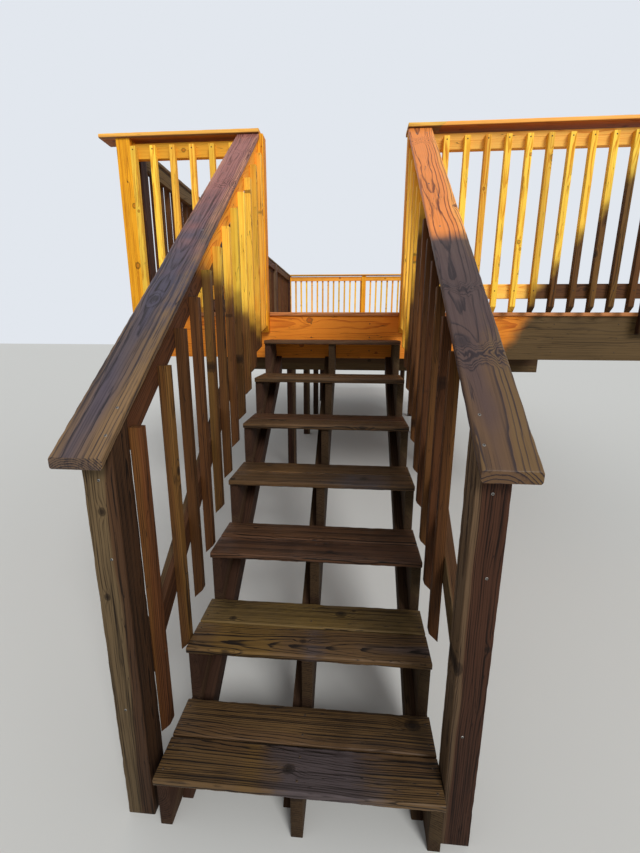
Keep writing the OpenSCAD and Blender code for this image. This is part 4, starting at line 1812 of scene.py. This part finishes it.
@dataclass
class Fixings:
    """Screw heads where boards, rails and balusters are fixed."""

    repeater: Repeater
    radius: float = 0.0042
    height: float = 0.0008
    edge: float = 0.034
    sloped_cap_spots: tuple[tuple[float, float], ...] = (
        (-1.125, 0.052), (-1.03, 0.046), (-0.024, 0.028), (0.4, 0.03), (1.12, -0.03), (1.12, 0.03))
    level_cap_pitch: float = 0.6
    level_cap_lanes: tuple[float, float] = (-0.02, 0.03)
    newel_spots: tuple[tuple[float, float], ...] = ((0.0, 1.165), (0.008, 0.933), (-0.01, 0.42))
    rim_shares: tuple[float, float, float] = (0.18, 0.5, 0.82)
    bright_groups: tuple[str, ...] = ("post_screws", "cap_screws")
    baluster_faces: dict[str, tuple[float, float, float]] = field(default_factory=lambda: {
        "stair_balusters_left": (1, 0, 0), "stair_balusters_right": (-1, 0, 0),
        "front_left_balusters": (0, -1, 0), "front_right_balusters": (0, -1, 0),
        "left_guard_balusters": (-1, 0, 0), "back_guard_balusters": (0, 1, 0),
    })
    spots: dict[str, list[tuple[Vector, Vector]]] = field(default_factory=dict)

    def add(self, group: str, place: Iterable[float], facing: Iterable[float]) -> None:
        """Notes one screw."""
        self.spots.setdefault(group, []).append((Vector(place), Vector(facing)))

    def on_treads(self, treads: int) -> None:
        """Notes two screws a board over each stringer.

        Args:
            treads: number of treads.
        """
        boxes = [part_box(f"stringer_{place}") for place in ("left", "center", "right")]
        for number in range(1, treads + 1):
            for stick in sticks_of(f"tread_{number}"):
                top = stick.middle[2] + stick.half[2]
                reach = stick.half[1] - min(self.edge, stick.half[1] / 2)
                for low, high in boxes:
                    for y in (-reach, reach):
                        self.add("tread_screws", ((low.x + high.x) / 2, stick.middle[1] + y, top), (0, 0, 1))

    def on_deck(self) -> None:
        """Notes two screws a board over each joist."""
        joists = [stick.middle[0] for stick in sticks_of("joists")]
        for stick in sticks_of("deck_boards"):
            top = stick.middle[2] + stick.half[2]
            reach = stick.half[1] - self.edge
            for x in joists:
                for y in (-reach, reach):
                    self.add("deck_screws", (x, stick.middle[1] + y, top), (0, 0, 1))

    def on_sloped_caps(self) -> None:
        """Notes one or two screws over the newel, and more up the cap."""
        for side in Side:
            cap = sticks_of(f"stair_cap_{side.value}")[0]
            inner = -1 if side is Side.RIGHT else 1
            for along, across in self.sloped_cap_spots:
                self.add("cap_screws", cap.spot(along, across * inner), cap.axes[2])

    def on_level_caps(self) -> None:
        """Notes pairs of screws along the level caps."""
        for run in ("front_left", "front_right", "left_guard", "back_guard"):
            for stick in sticks_of(f"{run}_cap"):
                pairs = max(2, round(2 * stick.half[0] / self.level_cap_pitch))
                for k in range(pairs):
                    along = (2 * (k + 0.5) / pairs - 1) * stick.half[0]
                    for across in self.level_cap_lanes:
                        self.add("cap_screws", stick.spot(along, across), stick.axes[2])

    def on_balusters(self, node: str, facing: Vector) -> None:
        """Notes one screw through each baluster at each rail.

        Args:
            node: the balusters' node.
            facing: direction of the face that takes the screws.
        """
        rails = sticks_of(node.replace("balusters", "rails"))
        for stick in sticks_of(node):
            for rail in rails:
                along = rail.axes[0]
                if abs((stick.middle - rail.middle) @ along) > rail.half[0]:
                    continue
                run = float(np.linalg.norm(along[:2]))
                away = float((stick.middle[:2] - rail.middle[:2]) @ along[:2]) / run
                height = rail.middle[2] + away * along[2] / run
                if abs(height - stick.middle[2]) > stick.half[0]:
                    continue
                spot = Vector((stick.middle[0], stick.middle[1], height)) + facing * stick.half[1]
                self.add("baluster_screws", spot, facing)

    def on_newels(self) -> None:
        """Notes the screws in the newels' front faces."""
        for side in Side:
            low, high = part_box(f"newel_{side.value}")
            for x, z in self.newel_spots:
                self.add("post_screws", ((low.x + high.x) / 2 + x, low.y, z), (0, -1, 0))

    def on_rim(self) -> None:
        """Notes three screws through the front rim into each joist."""
        low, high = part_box("front_rim")
        for stick in sticks_of("joists"):
            for share in self.rim_shares:
                self.add("rim_screws", (stick.middle[0], low.y, low.z + share * (high.z - low.z)), (0, -1, 0))

    def build(self, treads: int) -> None:
        """Makes every screw head.

        Args:
            treads: number of treads.
        """
        self.on_treads(treads)
        self.on_deck()
        self.on_sloped_caps()
        self.on_level_caps()
        self.on_newels()
        self.on_rim()
        for node, facing in self.baluster_faces.items():
            self.on_balusters(node, Vector(facing))
        metals = {steel: steel.value.build() for steel in Steel}
        for group, spots in self.spots.items():
            steel = Steel.BRIGHT if group in self.bright_groups else Steel.STAINED
            inputs = {"Radius": self.radius, "Height": self.height, "Steel": metals[steel],
                      "Recess": metals[Steel.RECESS]}
            places = np.array([tuple(place) for place, _ in spots])
            facing = np.array([tuple(facing) for _, facing in spots])
            mesh = self.repeater.grow(places, {"facing": facing}, inputs)
            mesh.name = group
            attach(show(group, mesh), BODY)
            LOG.info("%s: %d screws, %d faces", group, len(spots), len(mesh.polygons))


@dataclass
class Studio:
    """Plain pale floor, pale surroundings and soft light."""

    reach: float = 40.0
    floor: Colour = rgb(214, 214, 210)
    floor_roughness: float = 0.9
    floor_sheen: float = 0.1
    air: Colour = rgb(226, 231, 238)
    sky: Colour = (0.95, 0.97, 1.0)
    sky_strength: float = 0.5
    key_strength: float = 2.1
    key_angle: float = math.radians(24)
    key_from: tuple[float, float, float] = (0.42, -0.78, 0.62)

    def ground(self) -> None:
        """Lays the floor, which isn't part of the object."""
        mesh = bpy.data.meshes.new("studio_floor")
        corners = [(x * self.reach, y * self.reach, 0) for x, y in ((-1, -1), (1, -1), (1, 1), (-1, 1))]
        mesh.from_pydata(corners, [], [(0, 1, 2, 3)])
        material, net, inputs = Net.material("studio_floor")
        net.feed(inputs["Base Color"], (*self.floor, 1))
        net.feed(inputs["Roughness"], self.floor_roughness)
        net.feed(inputs["Specular IOR Level"], self.floor_sheen)
        mesh.materials.append(material)
        show("studio_floor", mesh)

    def surroundings(self) -> None:
        """Even light from all round, and a pale backdrop for the camera, for gloss and for clear things."""
        world = bpy.data.worlds.new("studio")
        bpy.context.scene.world = world
        world.use_nodes = True
        net = Net(world.node_tree)
        world.node_tree.nodes.clear()
        path = net.add("ShaderNodeLightPath").outputs
        seen = net.math("MAXIMUM", path["Is Camera Ray"], path["Is Glossy Ray"])
        seen = net.math("MAXIMUM", seen, path["Is Transmission Ray"])
        light = net.add("ShaderNodeBackground", {"Color": (*self.sky, 1), "Strength": self.sky_strength})
        drop = net.add("ShaderNodeBackground", {"Color": (*self.air, 1)})
        blend = net.add("ShaderNodeMixShader")
        for socket, value in zip(blend.inputs, (seen, light.outputs[0], drop.outputs[0])):
            net.feed(socket, value)
        net.add("ShaderNodeOutputWorld", {"Surface": blend.outputs[0]})

    def key(self) -> None:
        """Hangs a broad lamp at the front right."""
        data = bpy.data.lights.new("key", "SUN")
        data.energy = self.key_strength
        data.angle = self.key_angle
        lamp = bpy.data.objects.new("key", data)
        lamp.rotation_euler = Vector(self.key_from).to_track_quat("Z", "Y").to_euler()
        bpy.context.scene.collection.objects.link(lamp)

    def build(self) -> None:
        """Sets up the studio."""
        self.ground()
        self.surroundings()
        self.key()
        bpy.context.scene.view_settings.view_transform = "Standard"


def main() -> None:
    """Builds the scene in order."""
    logging.basicConfig(level=logging.INFO, format="%(name)s: %(message)s")
    Photograph().build()
    yard = Yard(Effects.build())
    row = BalusterRow(yard, baluster_tree())
    flight = Flight(yard)
    flight.build()
    for side in Side:
        StairGuard(yard, row, side).build()
    Deck(yard).build()
    LevelGuards(yard, row).build()
    Fixings(ScrewShape().build()).build(flight.treads)
    Studio().build()


if __name__ == "__main__":
    main()
